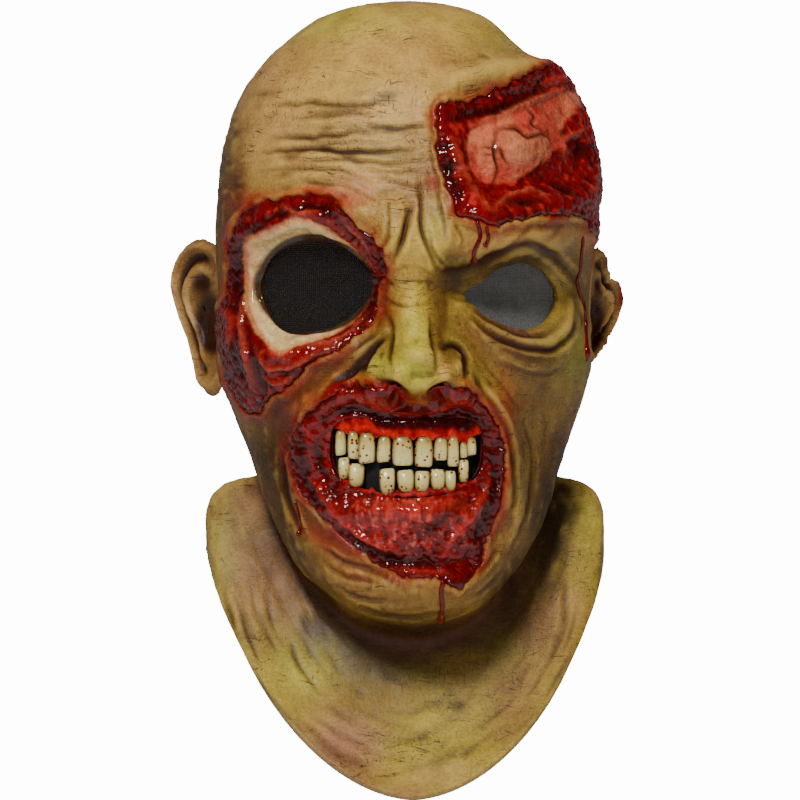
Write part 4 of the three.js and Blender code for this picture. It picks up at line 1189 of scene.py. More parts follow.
@dataclass
class Patch:
    """A grid over the head's angle and row position, with openings cut into it."""

    angle: Array
    t: Array
    quads: Array

    @classmethod
    def over(cls, angles: Array, rows: Array, wrap: bool = False) -> "Patch":
        """Makes the grid of all angles and rows."""
        t, angle = np.meshgrid(rows, angles, indexing="ij")
        return cls(angle.ravel(), t.ravel(), grid_quads(len(rows), len(angles), wrap))

    def cut(self, loop: Array, surface: Callable) -> Array:
        """Cuts an opening and moves the rim onto its outline.

        A quad goes where its middle is nearer the opening's middle than the outline is in that direction.
        The rim's points then keep their directions, smoothed along the rim, and Newton's steps in angle
        and t bring their x and z to the outline.

        Args:
            loop: the outline in x and z, seen from its middle as a star.
            surface: the surface as a function of angle and t.

        Returns:
            The rim's points in order.
        """
        middle = loop.mean(axis=0)
        rel = loop - middle
        order = np.argsort(np.arctan2(rel[:, 1], rel[:, 0]))
        turns = np.arctan2(rel[order, 1], rel[order, 0])
        radii = np.hypot(rel[order, 0], rel[order, 1])

        def reach(a: Array) -> Array:
            """Returns the outline's distance from its middle in direction a."""
            return np.interp(a, turns, radii, period=2 * np.pi)

        flat = surface(self.angle, self.t)[:, (0, 2)] - middle
        centre = flat[self.quads].mean(axis=1)
        near = np.hypot(centre[:, 0], centre[:, 1]) < reach(np.arctan2(centre[:, 1], centre[:, 0]))
        gone = near & (np.cos(self.angle[self.quads]).min(axis=1) > 0)
        count = len(self.angle)
        sides = [np.stack([q, np.roll(q, -1, axis=1)], axis=-1).reshape(-1, 2)
                 for q in (self.quads[~gone], self.quads[gone])]
        kept_keys = sides[0][:, 0] * count + sides[0][:, 1]
        gone_keys = sides[1][:, 1] * count + sides[1][:, 0]
        rim = chain(sides[0][np.isin(kept_keys, gone_keys)], count)
        self.quads = self.quads[~gone]
        turn = np.unwrap(np.arctan2(flat[rim, 1], flat[rim, 0]))
        lap = 2 * np.pi * np.sign(turn[-1] - turn[0])
        for _ in range(24):
            turn = (np.append(turn[-1] - lap, turn[:-1]) + 2 * turn + np.append(turn[1:], turn[0] + lap)) / 4
        goal = middle + reach(turn)[:, None] * np.stack([np.cos(turn), np.sin(turn)], axis=1)
        start = self.angle[rim], self.t[rim]
        self.angle[rim], self.t[rim] = walk(lambda a, t: surface(a, t)[:, (0, 2)], goal, start, 8, (0.1, 0.4))
        return rim

    def share(self, rim: Array, loop: Array) -> Array:
        """Returns the rim points' shares of a clockwise turn round the middle of an outline."""
        flat = FORM.point(self.angle[rim], self.t[rim])[:, (0, 2)] - loop.mean(axis=0)
        return (-np.arctan2(flat[:, 1], flat[:, 0]) / (2 * np.pi)) % 1.0


@dataclass
class Build:
    """Points, faces and point values of a mesh in the making, in millimetres."""

    points: Array
    faces: list[Array] = field(default_factory=list)
    values: dict[str, Array] = field(default_factory=dict)

    def add(self, points: Array) -> Array:
        """Adds points, with values of 0, and returns their numbers."""
        first = len(self.points)
        self.points = np.concatenate([self.points, points])
        for name, value in self.values.items():
            empty = np.zeros((len(points), *value.shape[1:]))
            self.values[name] = np.concatenate([value, empty])
        return np.arange(first, len(self.points))

    def copy_values(self, source: Array, target: Array) -> None:
        """Gives target points the values of source points."""
        for value in self.values.values():
            value[target] = value[source]

    def rings(self, rim: Array, loops: list[Array]) -> Array:
        """Adds loops one after another to a rim whose faces lie on its left, and returns the last one."""
        for loop in loops:
            new = self.add(loop)
            self.copy_values(rim, new)
            self.faces.append(np.stack([np.roll(rim, -1), rim, new, np.roll(new, -1)], axis=1))
            rim = new
        return rim

    def make(self, name: str) -> bpy.types.Object:
        """Makes the Blender object from the points in use, in metres, and returns it."""
        used = np.unique(np.concatenate([f.ravel() for f in self.faces]))
        place = np.zeros(len(self.points), int)
        place[used] = np.arange(len(used))
        mesh = bpy.data.meshes.new(name)
        sizes = np.concatenate([np.full(len(f), f.shape[1]) for f in self.faces])
        corners = place[np.concatenate([f.ravel() for f in self.faces])]
        mesh.vertices.add(len(used))
        mesh.vertices.foreach_set("co", (self.points[used] * MM).astype(np.float32).ravel())
        mesh.loops.add(len(corners))
        mesh.loops.foreach_set("vertex_index", corners.astype(np.int32))
        mesh.polygons.add(len(sizes))
        starts = np.concatenate([[0], np.cumsum(sizes)[:-1]])
        mesh.polygons.foreach_set("loop_start", starts.astype(np.int32))
        mesh.polygons.foreach_set("use_smooth", np.full(len(sizes), True))
        mesh.update(calc_edges=True)
        mesh.validate()
        for key, value in self.values.items():
            if value.ndim == 2:
                layer = mesh.attributes.new(key, "FLOAT_COLOR", "POINT")
                colour = np.concatenate([value[used], np.ones((len(used), 1))], axis=1)
                layer.data.foreach_set("color", colour.astype(np.float32).ravel())
            else:
                layer = mesh.attributes.new(key, "FLOAT", "POINT")
                layer.data.foreach_set("value", value[used].astype(np.float32))
        piece = bpy.data.objects.new(name, mesh)
        bpy.context.scene.collection.objects.link(piece)
        triangles = int(np.sum(sizes - 2))
        LOG.info("%s: %d points, %d triangles", name, len(used), triangles)
        return piece


def closed_sheet(top: Array, under: Array, quads: Array, values: dict[str, Array] | None = None) -> Build:
    """Joins two like sets of points into one closed sheet, with a wall along every border.

    Args:
        top: points of the outer side, (N, 3).
        under: the same points moved inward, (N, 3).
        quads: faces of the outer side, (M, 4).
        values: values of the points, given to both sides.

    Returns:
        The sheet, ready to be made.
    """
    count = len(top)
    both = {name: np.concatenate([value, value]) for name, value in (values or {}).items()}
    build = Build(np.concatenate([top, under]), [quads, quads[:, ::-1] + count], both)
    sides = np.stack([quads, np.roll(quads, -1, axis=1)], axis=-1).reshape(-1, 2)
    border = sides[~np.isin(sides[:, 0] * count + sides[:, 1], sides[:, 1] * count + sides[:, 0])]
    wall = np.stack([border[:, 1], border[:, 0], border[:, 0] + count, border[:, 1] + count], axis=1)
    build.faces.append(wall)
    return build


def gather(forms: list[tuple[Array, Array, Array]], values: dict[str, Array] | None = None) -> Build:
    """Puts closed forms together, each given by its points, its quads and its end caps."""
    starts = np.cumsum([0] + [len(points) for points, _, _ in forms])
    quads = np.concatenate([q + start for (_, q, _), start in zip(forms, starts)])
    caps = np.concatenate([c + start for (_, _, c), start in zip(forms, starts)])
    return Build(np.concatenate([points for points, _, _ in forms]), [quads, caps], values or {})


def dress(piece: bpy.types.Object, slot: str, material: bpy.types.Material, *nodes: str) -> None:
    """Dresses a piece, rides it on the body, and hides the imported nodes that it stands for."""
    piece.data.materials.append(material)
    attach(piece, BODY)
    if nodes:
        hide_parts(*nodes)


def cavity(points: Array, rows: int, columns: int, normals: Array, reach: int) -> Array:
    """Returns how hollow a wrapped grid is at each point, in millimetres: (mean of 4 neighbours - p) . n."""
    grid = points.reshape(rows, columns, 3)
    up = grid[np.clip(np.arange(rows) - reach, 0, rows - 1)]
    down = grid[np.clip(np.arange(rows) + reach, 0, rows - 1)]
    mean = (up + down + np.roll(grid, reach, axis=1) + np.roll(grid, -reach, axis=1)) / 4
    return np.sum((mean - grid).reshape(-1, 3) * normals, axis=1)


def soften(values: Array, rows: int, columns: int) -> Array:
    """Returns values of a wrapped grid averaged by 1 2 1 down and across."""
    grid = values.reshape(rows, columns)
    grid = (2 * grid + np.roll(grid, 1, axis=1) + np.roll(grid, -1, axis=1)) / 4
    tall = np.pad(grid, ((1, 1), (0, 0)), mode="edge")
    return ((2 * grid + tall[:-2] + tall[2:]) / 4).ravel()


def grid_normals(points: Array, rows: int, columns: int) -> Array:
    """Returns the normals of a wrapped grid of points, down x across."""
    grid = points.reshape(rows, columns, 3)
    down = np.gradient(grid, axis=0)
    across = np.roll(grid, -1, axis=1) - np.roll(grid, 1, axis=1)
    return unit(np.cross(down, across).reshape(-1, 3))


@dataclass
class LatexMask:
    """The painted casting: its outside in fine relief, its openings with rounded edges, and its inside."""

    rows: int = 330
    columns: int = 276
    inner_rows: int = 72
    inner_columns: int = 72
    crowding: float = 0.74
    edge: float = 0.9

    def angles(self, count: int) -> Array:
        """Returns the columns' angles a - crowding sin(a), closest together at the face."""
        a = 2 * np.pi * np.arange(count) / count
        return a - self.crowding * np.sin(a)

    def down(self, count: int) -> Array:
        """Returns row positions spaced by the profile's length, with the face's rows closer together."""
        t = np.linspace(0.02, FORM.last, 2000)
        profile = FORM.plain(np.zeros_like(t), t)
        length = np.linalg.norm(np.diff(profile, axis=0), axis=1)
        z = (profile[1:, 2] + profile[:-1, 2]) / 2
        weight = length * (1.0 + 1.1 * smoothstep(z, -320.0, -290.0) * smoothstep(-z, 30.0, 70.0))
        total = np.concatenate([[0.0], np.cumsum(weight)])
        return np.interp(np.linspace(0, total[-1], count), total, t)

    def build(self) -> bpy.types.Object:
        """Makes the casting's mesh with its paint, painted crease shade, hollow and wound values."""
        rows = self.down(self.rows)
        patch = Patch.over(self.angles(self.columns), rows, wrap=True)
        loops = [FORM.eye_loop(SOCKET), FORM.eye_loop(LID), FORM.mouth_loop()]
        rims = [patch.cut(loop, FORM.point) for loop in loops]
        base = FORM.point(patch.angle, patch.t)
        draw = VIEW.draw(base)
        way = grid_normals(base, self.rows, self.columns)
        lift, crease_shade, wound = skin_lift(patch.angle, draw, base)
        points = base + lift[:, None] * way
        fine = grid_normals(points, self.rows, self.columns)
        dip = cavity(points, self.rows, self.columns, fine, 2)
        build = Build(points, [patch.quads], {
            "paint": paint(patch.angle, draw, base),
            "crease_shade": soften(crease_shade, self.rows, self.columns),
            "hollow": soften(np.clip(dip / 0.3, -1.5, 1.5), self.rows, self.columns),
            "wound": wound,
        })
        pole = build.add(np.array([[0.0, 0.0, FORM.wall]]))[0]
        build.copy_values(np.array([0]), np.array([pole]))
        first = np.arange(self.columns)
        build.faces.append(np.stack([np.full(self.columns, pole), first, np.roll(first, -1)], axis=1))
        inner = Patch.over(self.angles(self.inner_columns), self.down(self.inner_rows), wrap=True)
        inner_rims = [inner.cut(loop, FORM.point) for loop in loops]
        shift = build.add(FORM.inside(inner.angle, inner.t, FORM.wall))[0]
        build.values["inner"] = np.zeros(len(build.points))
        build.values["inner"][shift:] = 1.0
        build.faces.append(inner.quads[:, ::-1] + shift)
        inner_pole = build.add(np.array([[0.0, 0.0, 0.0]]))[0]
        build.values["inner"][inner_pole] = 1.0
        ring = np.arange(self.inner_columns) + shift
        build.faces.append(np.stack([np.full(len(ring), inner_pole), np.roll(ring, -1), ring], axis=1))
        for loop, rim, other in zip(loops, rims, inner_rims):
            depths = (self.edge, FORM.wall - self.edge)
            lips = [FORM.inside(patch.angle[rim], patch.t[rim], depth) for depth in depths]
            toward = unit(np.insert(loop.mean(axis=0), 1, 0.0) - build.points[rim] * (1, 0, 1))
            lips = [lip * (1, 0, 1) + toward * 0.5 + lip * (0, 1, 0) for lip in lips]
            last = build.rings(rim, lips)
            shares = patch.share(rim, loop), inner.share(other, loop)
            build.faces.append(zip_loops(last, shares[0], other + shift, shares[1]))
        hem = np.arange(self.columns) + (self.rows - 1) * self.columns
        inner_hem = np.arange(self.inner_columns) + (self.inner_rows - 1) * self.inner_columns
        build.faces.append(zip_loops(
            hem, (patch.angle[hem] / (2 * np.pi)) % 1.0,
            inner_hem + shift, (inner.angle[inner_hem] / (2 * np.pi)) % 1.0))
        return build.make("mask_latex")


# Wounds


BLOOD = shade(132, 28, 30)
DARK_BLOOD = shade(78, 14, 15)
BRIGHT_BLOOD = shade(206, 84, 80)
RAW_PINK = shade(206, 134, 108)
PALE_BONE = shade(255, 230, 180)
# Painted shade in the wounds' cracks, grooves and low streaks, and on the gums under the lip.
MAROON_SHADE = shade(46, 5, 6)

FOREHEAD_MARKS: tuple[Stroke, ...] = (
    Stroke(((441, 122), (465, 117), (501, 108), (528, 95), (548, 80)), 6.2, -1.8, 1.0),
    Stroke(((444, 138), (447, 162), (454, 186), (464, 208)), 5.5, -1.3, 1.0),
    Stroke(((497, 130), (494, 151), (496, 168), (493, 188)), 1.9, -1.0, 1.0),
    Stroke(((495, 134), (503, 128), (515, 131), (527, 139), (541, 135), (548, 141), (546, 152)),
           2.0, -1.0, 1.0),
    Stroke(((500, 146), (503, 158), (508, 164)), 1.8, -0.8, 1.0),
    Stroke(((543, 158), (534, 170), (522, 178)), 1.8, -0.8, 0.9),
    Stroke(((526, 109), (533, 118), (530, 125), (541, 132)), 1.8, -0.8, 0.9),
    Stroke(((484, 147), (493, 149)), 1.3, -0.6, 1.0),
    Stroke(((483, 156), (492, 155)), 1.3, -0.6, 1.0),
    Stroke(((568, 140), (577, 146), (574, 166)), 7.0, -1.5, 1.0),
    Stroke(((552, 188), (564, 192), (576, 190)), 6.0, -1.2, 1.0),
    Stroke(((561, 160), (560, 147), (565, 138), (584, 130)), 2.2, 1.6, 0.5),
    Stroke(((470, 127), (500, 117), (530, 102), (566, 88)), 3.0, 1.2, 0.9),
    Stroke(((494, 212), (503, 202), (514, 195), (534, 192), (546, 200)), 2.2, 1.5, 0.6),
    Stroke(((504, 204), (520, 203), (538, 204)), 5.0, -1.6, 1.0),
    Stroke(((452, 140), (460, 168), (474, 196), (490, 212)), 2.2, 1.2, 0.3),
    Stroke(((541, 86), (552, 80), (564, 80)), 4.0, 1.4, 0.0),
)
SOCKET_MARKS: tuple[Stroke, ...] = (
    Stroke(((236, 250), (262, 224), (300, 209), (330, 212), (362, 246)), 3.6, -1.4, 1.0),
    Stroke(((240, 244), (238, 280), (242, 306)), 4.0, -1.3, 0.9),
    Stroke(((252, 346), (260, 372), (266, 400)), 6.0, -1.5, 1.0),
    Stroke(((232, 330), (236, 352), (246, 376)), 4.0, -1.1, 0.9),
    Stroke(((278, 364), (290, 374), (306, 366)), 4.0, -1.1, 0.9),
    Stroke(((284, 208), (300, 214), (318, 212)), 2.4, 1.4, 0.4),
    Stroke(((244, 296), (243, 330), (249, 362), (256, 388)), 2.4, 1.7, 0.3),
    Stroke(((256, 350), (270, 368), (290, 366), (312, 358), (346, 342)), 2.4, 1.6, 0.4),
    Stroke(((262, 376), (280, 384), (296, 374)), 2.0, 1.4, 0.3),
    Stroke(((226, 310), (234, 322), (230, 346)), 3.6, 1.6, 0.0),
    Stroke(((268, 352), (282, 356), (296, 354)), 3.4, 1.4, 0.1),
    Stroke(((300, 350), (330, 344), (356, 330), (370, 312)), 1.8, 1.2, 0.6),
    Stroke(((366, 262), (378, 284), (368, 316)), 3.4, -1.2, 0.9),
    Stroke(((342, 220), (356, 232), (372, 252)), 2.2, 1.2, 0.5),
)
MOUTH_MARKS: tuple[Stroke, ...] = (
    Stroke(((314, 430), (340, 410), (366, 412), (386, 418), (412, 422), (440, 418), (466, 412), (488, 434)),
           5.0, -1.6, 1.0),
    Stroke(((306, 420), (318, 402), (338, 396)), 5.0, -1.0, 0.9),
    Stroke(((330, 402), (352, 394), (376, 400), (402, 409), (432, 407), (458, 396), (480, 408)),
           4.6, 3.0, 0.1),
    Stroke(((336, 526), (362, 545), (386, 557), (411, 562), (440, 563)), 5.2, -1.7, 1.0),
    Stroke(((311, 476), (322, 496), (343, 519), (370, 541), (398, 552)), 3.4, 1.8, 0.0),
    Stroke(((488, 470), (482, 500), (462, 526), (446, 548), (440, 566)), 4.4, 1.9, 0.0),
    Stroke(((302, 436), (302, 466), (314, 496), (330, 514)), 6.0, -1.2, 0.9),
    Stroke(((322, 440), (320, 462), (332, 484)), 5.0, -1.0, 0.9),
    Stroke(((490, 440), (494, 476), (487, 510), (470, 540)), 6.5, -1.2, 0.9),
    Stroke(((426, 530), (440, 520), (462, 500)), 5.0, -0.9, 0.9),
    Stroke(((362, 506), (395, 510), (430, 509), (455, 503)), 8.0, 1.6, 0.0),
    Stroke(((384, 570), (412, 574), (450, 577)), 4.0, 1.3, 0.0),
)


class Wound(Enum):
    """The three wounds."""

    FOREHEAD = "forehead"
    SOCKET = "socket"
    MOUTH = "mouth"


@dataclass
class WetWound:
    """A raw patch that rises from under the torn skin: lumps, strands, grooves and bare bone."""

    kind: Wound
    outline: tuple
    marks: tuple[Stroke, ...]
    angles: tuple[float, float]
    rows: tuple[float, float]
    columns: int
    lines: int
    opening: Array | None = None
    margin: float = 5.0
    sunk: float = -1.7
    thickness: float = 0.9

    def flesh(self, p: Array) -> tuple[Array, Array]:
        """Raw flesh: lumps of three sizes, with painted shade in the cracks between them, lighter on the
        large lumps partly at random and partly as painted light, and bright in flecks.

        Returns:
            The height in millimetres over the casting, and a linear colour.
        """
        large, small, tiny = clots(p, 5.2, 41), clots(p, 2.6, 42), clots(p, 1.3, 43)
        height = -0.9 + 1.8 * large + 1.1 * small + 0.45 * tiny
        tone = np.clip(0.25 + 0.5 * noise(p, 7.0, 44, 3) + 0.55 * (large - 0.5), 0, 1)
        colour = stained(DARK_BLOOD, BLOOD, smoothstep(tone, 0.0, 0.5))
        fleck = smoothstep(noise(p, 3.4, 45, 2), 0.2, 0.55)
        colour = stained(colour, BRIGHT_BLOOD, 0.6 * fleck)
        # Painted shade in the cracks between the lumps.
        crack_shade = smoothstep(0.5 * large + 0.35 * small + 0.15 * tiny, 0.42, 0.16)
        return height, stained(colour, MAROON_SHADE, 0.85 * crack_shade)

    def skull(self, draw: Array, p: Array, height: Array, colour: Array) -> tuple[Array, Array]:
        """Lays the cracked, fleshy plate of skull over the forehead wound, with its raised boss."""
        within = inside_distance(draw, smooth_loop(SKULL_PLATE, 3)) + 2.0 * noise(p, 4.0, 46)
        plate = smoothstep(within, -1.0, 4.0)
        boss = oval(draw, *SKULL_BOSS, 1.5)
        low = smoothstep(noise(p, 9.0, 48), -0.3, 0.4)
        bare = stained(PLATE_RED, RAW_PINK, low)
        bare = stained(bare, PLATE_PALE, 0.75 * boss)
        bare = stained(bare, BLOOD, 0.55 * smoothstep(noise(p, 5.0, 49, 2), 0.15, 0.5))
        height = mix(height, 0.9 + 0.9 * noise(p, 13.0, 47, 2) + 1.4 * boss, plate)
        return height, stained(colour, bare, plate)

    def rim(self, draw: Array, p: Array, height: Array, colour: Array) -> tuple[Array, Array]:
        """Lays the rounded rim of bone round the socket, red at its outside, with painted shade at its seat
        and over the wound's far left side.
        """
        # Painted shade over the wound's far left side, where the head turns from the light.
        far = smoothstep(draw[:, 0], *RIM_SIDE_SHADE)
        colour = stained(colour, DARK_BLOOD, 0.7 * far)
        inner = inside_distance(draw, smooth_loop(BONE_RIM, 3)) + 1.6 * noise(p, 4.0, 46)
        over = smoothstep(inner, -2.0, 2.0)
        bulge = 1.5 * bell(inner, 6.0, 6.0) - 1.2 * smoothstep(inner, 8.0, 16.0)
        height = mix(height, bulge + 0.3 * noise(p, 5.0, 53, 2), over)
        outer = np.clip(smoothstep(inner, 8.0, 0.0) + 0.5 * smoothstep(draw[:, 0], *RIM_REDDENS), 0, 1)
        bare = stained(PALE_BONE, BONE_RED, 0.7 * outer)
        stain = smoothstep(noise(p, 8.0, 48, 2), 0.0, 0.5)
        bare = stained(bare, BONE_YELLOW, 0.3 * stain)
        colour = stained(colour, bare, over)
        # Painted shade at the seat: a dark ring that widens the opening's dark.
        dark = smoothstep(oval_reach(draw, *SOCKET_SEAT), 1.1, 0.96)
        return height - 1.2 * dark, stained(colour, SEAT_SHADE, 0.95 * dark)

    def lip(self, draw: Array, p: Array, height: Array, colour: Array) -> tuple[Array, Array]:
        """Lays the streaked gum and the bubbly clots over the lower lip, dark at its edges, with painted
        highlights on its raised streaks and painted shade between them.
        """
        low = np.maximum(smoothstep(draw[:, 1], *LOWER_LIP), smoothstep(draw[:, 0], *LIP_CORNER))
        colour = stained(colour, DARK_BLOOD, 0.55 * low)
        gum = oval(draw, *GUM_STREAKS, 2.0)
        streak = noise(p * np.array([1.0, 0.3, 0.16]), 1.9, 50, 2)
        height = mix(height, 1.2 + 0.9 * streak, gum)
        # Painted highlights on the raised streaks, painted shade in the low ones.
        streaks = stained(BLOOD, STREAK_HIGHLIGHT, smoothstep(streak, -0.2, 0.4))
        streaks = stained(streaks, MAROON_SHADE, 0.7 * smoothstep(-streak, 0.2, 0.5))
        colour = stained(colour, streaks, gum)
        bubbly = oval(draw, *LIP_BUBBLES, 2.0)
        height = height + 0.9 * bubbly * (clots(p, 2.2, 51) - 0.3)
        colour = stained(colour, BUBBLE_RED, 0.5 * bubbly)
        grain = noise(p, 1.9, 54, 2)
        rough = oval(draw, *LIP_GRAIN, 2.0)
        pit = 0.75 * rough * smoothstep(grain, 0.05, 0.4)
        colour = stained(colour, PIT_RED, pit)
        grit = 0.6 * rough * smoothstep(-grain, 0.25, 0.5)
        colour = stained(colour, GRIT_PINK, grit)
        return height - 0.9 * rough * grain, colour

    def form(self, draw: Array, p: Array, depth: Array) -> tuple[Array, Array]:
        """The wound's relief and colour: flesh, its bare parts, and marks of depth exp(-(d/w)^2), with
        painted shade in the grooves and along the torn edge, and painted light on the raised marks.

        Outside the tear all dips under the skin.

        Returns:
            The height in millimetres over the casting, and a linear colour.
        """
        height, colour = self.flesh(p)
        bare = {Wound.FOREHEAD: self.skull, Wound.SOCKET: self.rim, Wound.MOUTH: self.lip}[self.kind]
        height, colour = bare(draw, p, height, colour)
        for mark in self.marks:
            path = smooth_path(mark.points, 4)
            gap, share = path_distance(draw + 1.2 * noise(p, 5.0, 52)[:, None], path)
            cover = bell(gap, 0.0, mark.width) * taper(share)
            height = height + mark.depth * cover
            # Painted shade in the grooves, and painted light on the raised marks.
            raised = mix(BRIGHT_BLOOD, RAW_PINK, mark.dark)
            tint, strength = (MAROON_SHADE, 0.95) if mark.depth < 0 else (raised, 0.6)
            colour = stained(colour, tint, strength * cover)
        # Painted shade along the torn edge, where the flesh runs under the skin's rim.
        edge = smoothstep(-np.abs(depth - 2.0), -4.0, 0.0)
        colour = stained(colour, DARK_BLOOD, 0.6 * edge)
        height = np.maximum(height, self.sunk)
        return mix(np.full(len(p), self.sunk), height, smoothstep(depth, -2.5, 2.0)), colour

    def build(self) -> bpy.types.Object:
        """Makes the patch as a thin closed sheet."""
        angles = np.linspace(*self.angles, self.columns)
        rows = np.linspace(*self.rows, self.lines)
        patch = Patch.over(angles, rows)
        if self.opening is not None:
            patch.cut(self.opening, FORM.point)
        base = FORM.point(patch.angle, patch.t)
        grid = base.reshape(self.lines, self.columns, 3)
        way = unit(np.cross(np.gradient(grid, axis=0), np.gradient(grid, axis=1)).reshape(-1, 3))
        draw = VIEW.draw(base)
        depth = wound_depth(patch.angle, draw, base, self.outline)
        height, colour = self.form(draw, base, depth)
        quads = patch.quads[depth[patch.quads].max(axis=1) > -self.margin]
        points = base + height[:, None] * way
        build = closed_sheet(points, points - self.thickness * way, quads, {"flesh": colour})
        return build.make(f"{self.kind.value}_wound")


def on_face(drawn: Array, start: tuple[float, float]) -> tuple[Array, Array]:
    """Finds the angle and row position of drawing coordinates, by Newton's steps from a start."""
    begin = tuple(np.full(len(drawn), value) for value in start)
    limits = (-1.5, 1.5), (0.1, FORM.last - 0.01)
    return walk(lambda a, t: VIEW.draw(FORM.point(a, t)), drawn, begin, 40, (0.08, 0.5), limits)


def tube(path: Array, radius: Array, up: Array, sides: int = 8) -> tuple[Array, Array]:
    """Carries a ring along a path and draws it to a point at both ends.

    Args:
        path: the middle line, (N, 3).
        radius: the ring's radius at each point, (N,).
        up: a direction across the path at each point, (N, 3).
        sides: corners of the ring.

    Returns:
        Points and quads. The ends are rings of almost no size.
    """
    way = unit(np.gradient(path, axis=0))
    out = unit(up - np.sum(up * way, axis=1, keepdims=True) * way)
    side = np.cross(way, out)
    a = 2 * np.pi * np.arange(sides) / sides
    ring = np.cos(a)[None, :, None] * out[:, None] + np.sin(a)[None, :, None] * side[:, None]
    points = path[:, None] + radius[:, None, None] * ring
    return points.reshape(-1, 3), grid_quads(len(path), sides, wrap=True)[:, ::-1]


@dataclass
class BloodRuns:
    """Runs of thick blood down the brow, the temple and the chin."""

    runs: tuple = (
        (((443, 574), (441, 592), (442, 606), (440, 622)), (0.1, 15.0), 1.5),
        (((477, 220), (480, 236), (474, 250), (473, 262)), (0.5, 8.0), 1.25),
        (((583, 236), (580, 262), (577, 288), (583, 306), (585, 336), (586, 362)), (1.2, 9.0), 1.3),
        (((486, 226), (488, 238), (484, 246)), (0.5, 8.0), 1.1),
        (((296, 500), (300, 520), (299, 536)), (-0.7, 13.0), 1.0),
    )
    steps: int = 14
    sides: int = 10

    def build(self) -> bpy.types.Object:
        """Makes all runs as closed tubes, half sunk in the skin, each with a fuller drop at its end."""
        forms = []
        for drawn, start, radius in self.runs:
            path = smooth_path(drawn, self.steps)
            angle, t = on_face(path, start)
            share = np.linspace(0, 1, len(path))
            swell = radius * (0.8 + 0.7 * bell(share, 0.93, 0.06))
            swell *= np.sqrt(np.clip(np.minimum(share / 0.04, (1 - share) / 0.05), 0.0, 1.0)) + 0.01
            out = FORM.normal(FORM.point, angle, t)
            spots = FORM.point(angle, t)
            lift = skin_lift(angle, VIEW.draw(spots), spots)[0]
            ring, quads = tube(spots + (lift + 0.25 * radius)[:, None] * out, swell, out, self.sides)
            forms.append((ring, quads, end_caps(self.sides, len(ring))))
        build = gather(forms)
        build.values["flesh"] = np.tile(RUN_RED, (len(build.points), 1))
        return build.make("blood_runs")


# Ears


@dataclass(frozen=True)
class EarForm:
    """One ear: its side, its turn from the head, and its outline as shares back from the root and up."""

    side: int
    turn: float
    outline: tuple[tuple[float, float], ...]


LEFT_EAR = EarForm(-1, 36.0, (
    (1.0, 0.23), (0.9, 0.38), (0.68, 0.48), (0.35, 0.5), (0.06, 0.42), (-0.08, 0.2), (-0.1, -0.1),
    (-0.06, -0.36), (0.12, -0.49), (0.36, -0.46), (0.5, -0.31), (0.64, -0.15), (0.84, 0.03)))
RIGHT_EAR = EarForm(1, 27.0, (
    (0.98, 0.1), (0.92, 0.23), (0.64, 0.27), (0.5, 0.36), (0.34, 0.45), (0.06, 0.4), (-0.08, 0.2),
    (-0.1, -0.05), (-0.06, -0.22), (0.14, -0.28), (0.38, -0.22), (0.6, -0.12), (0.82, 0.0)))


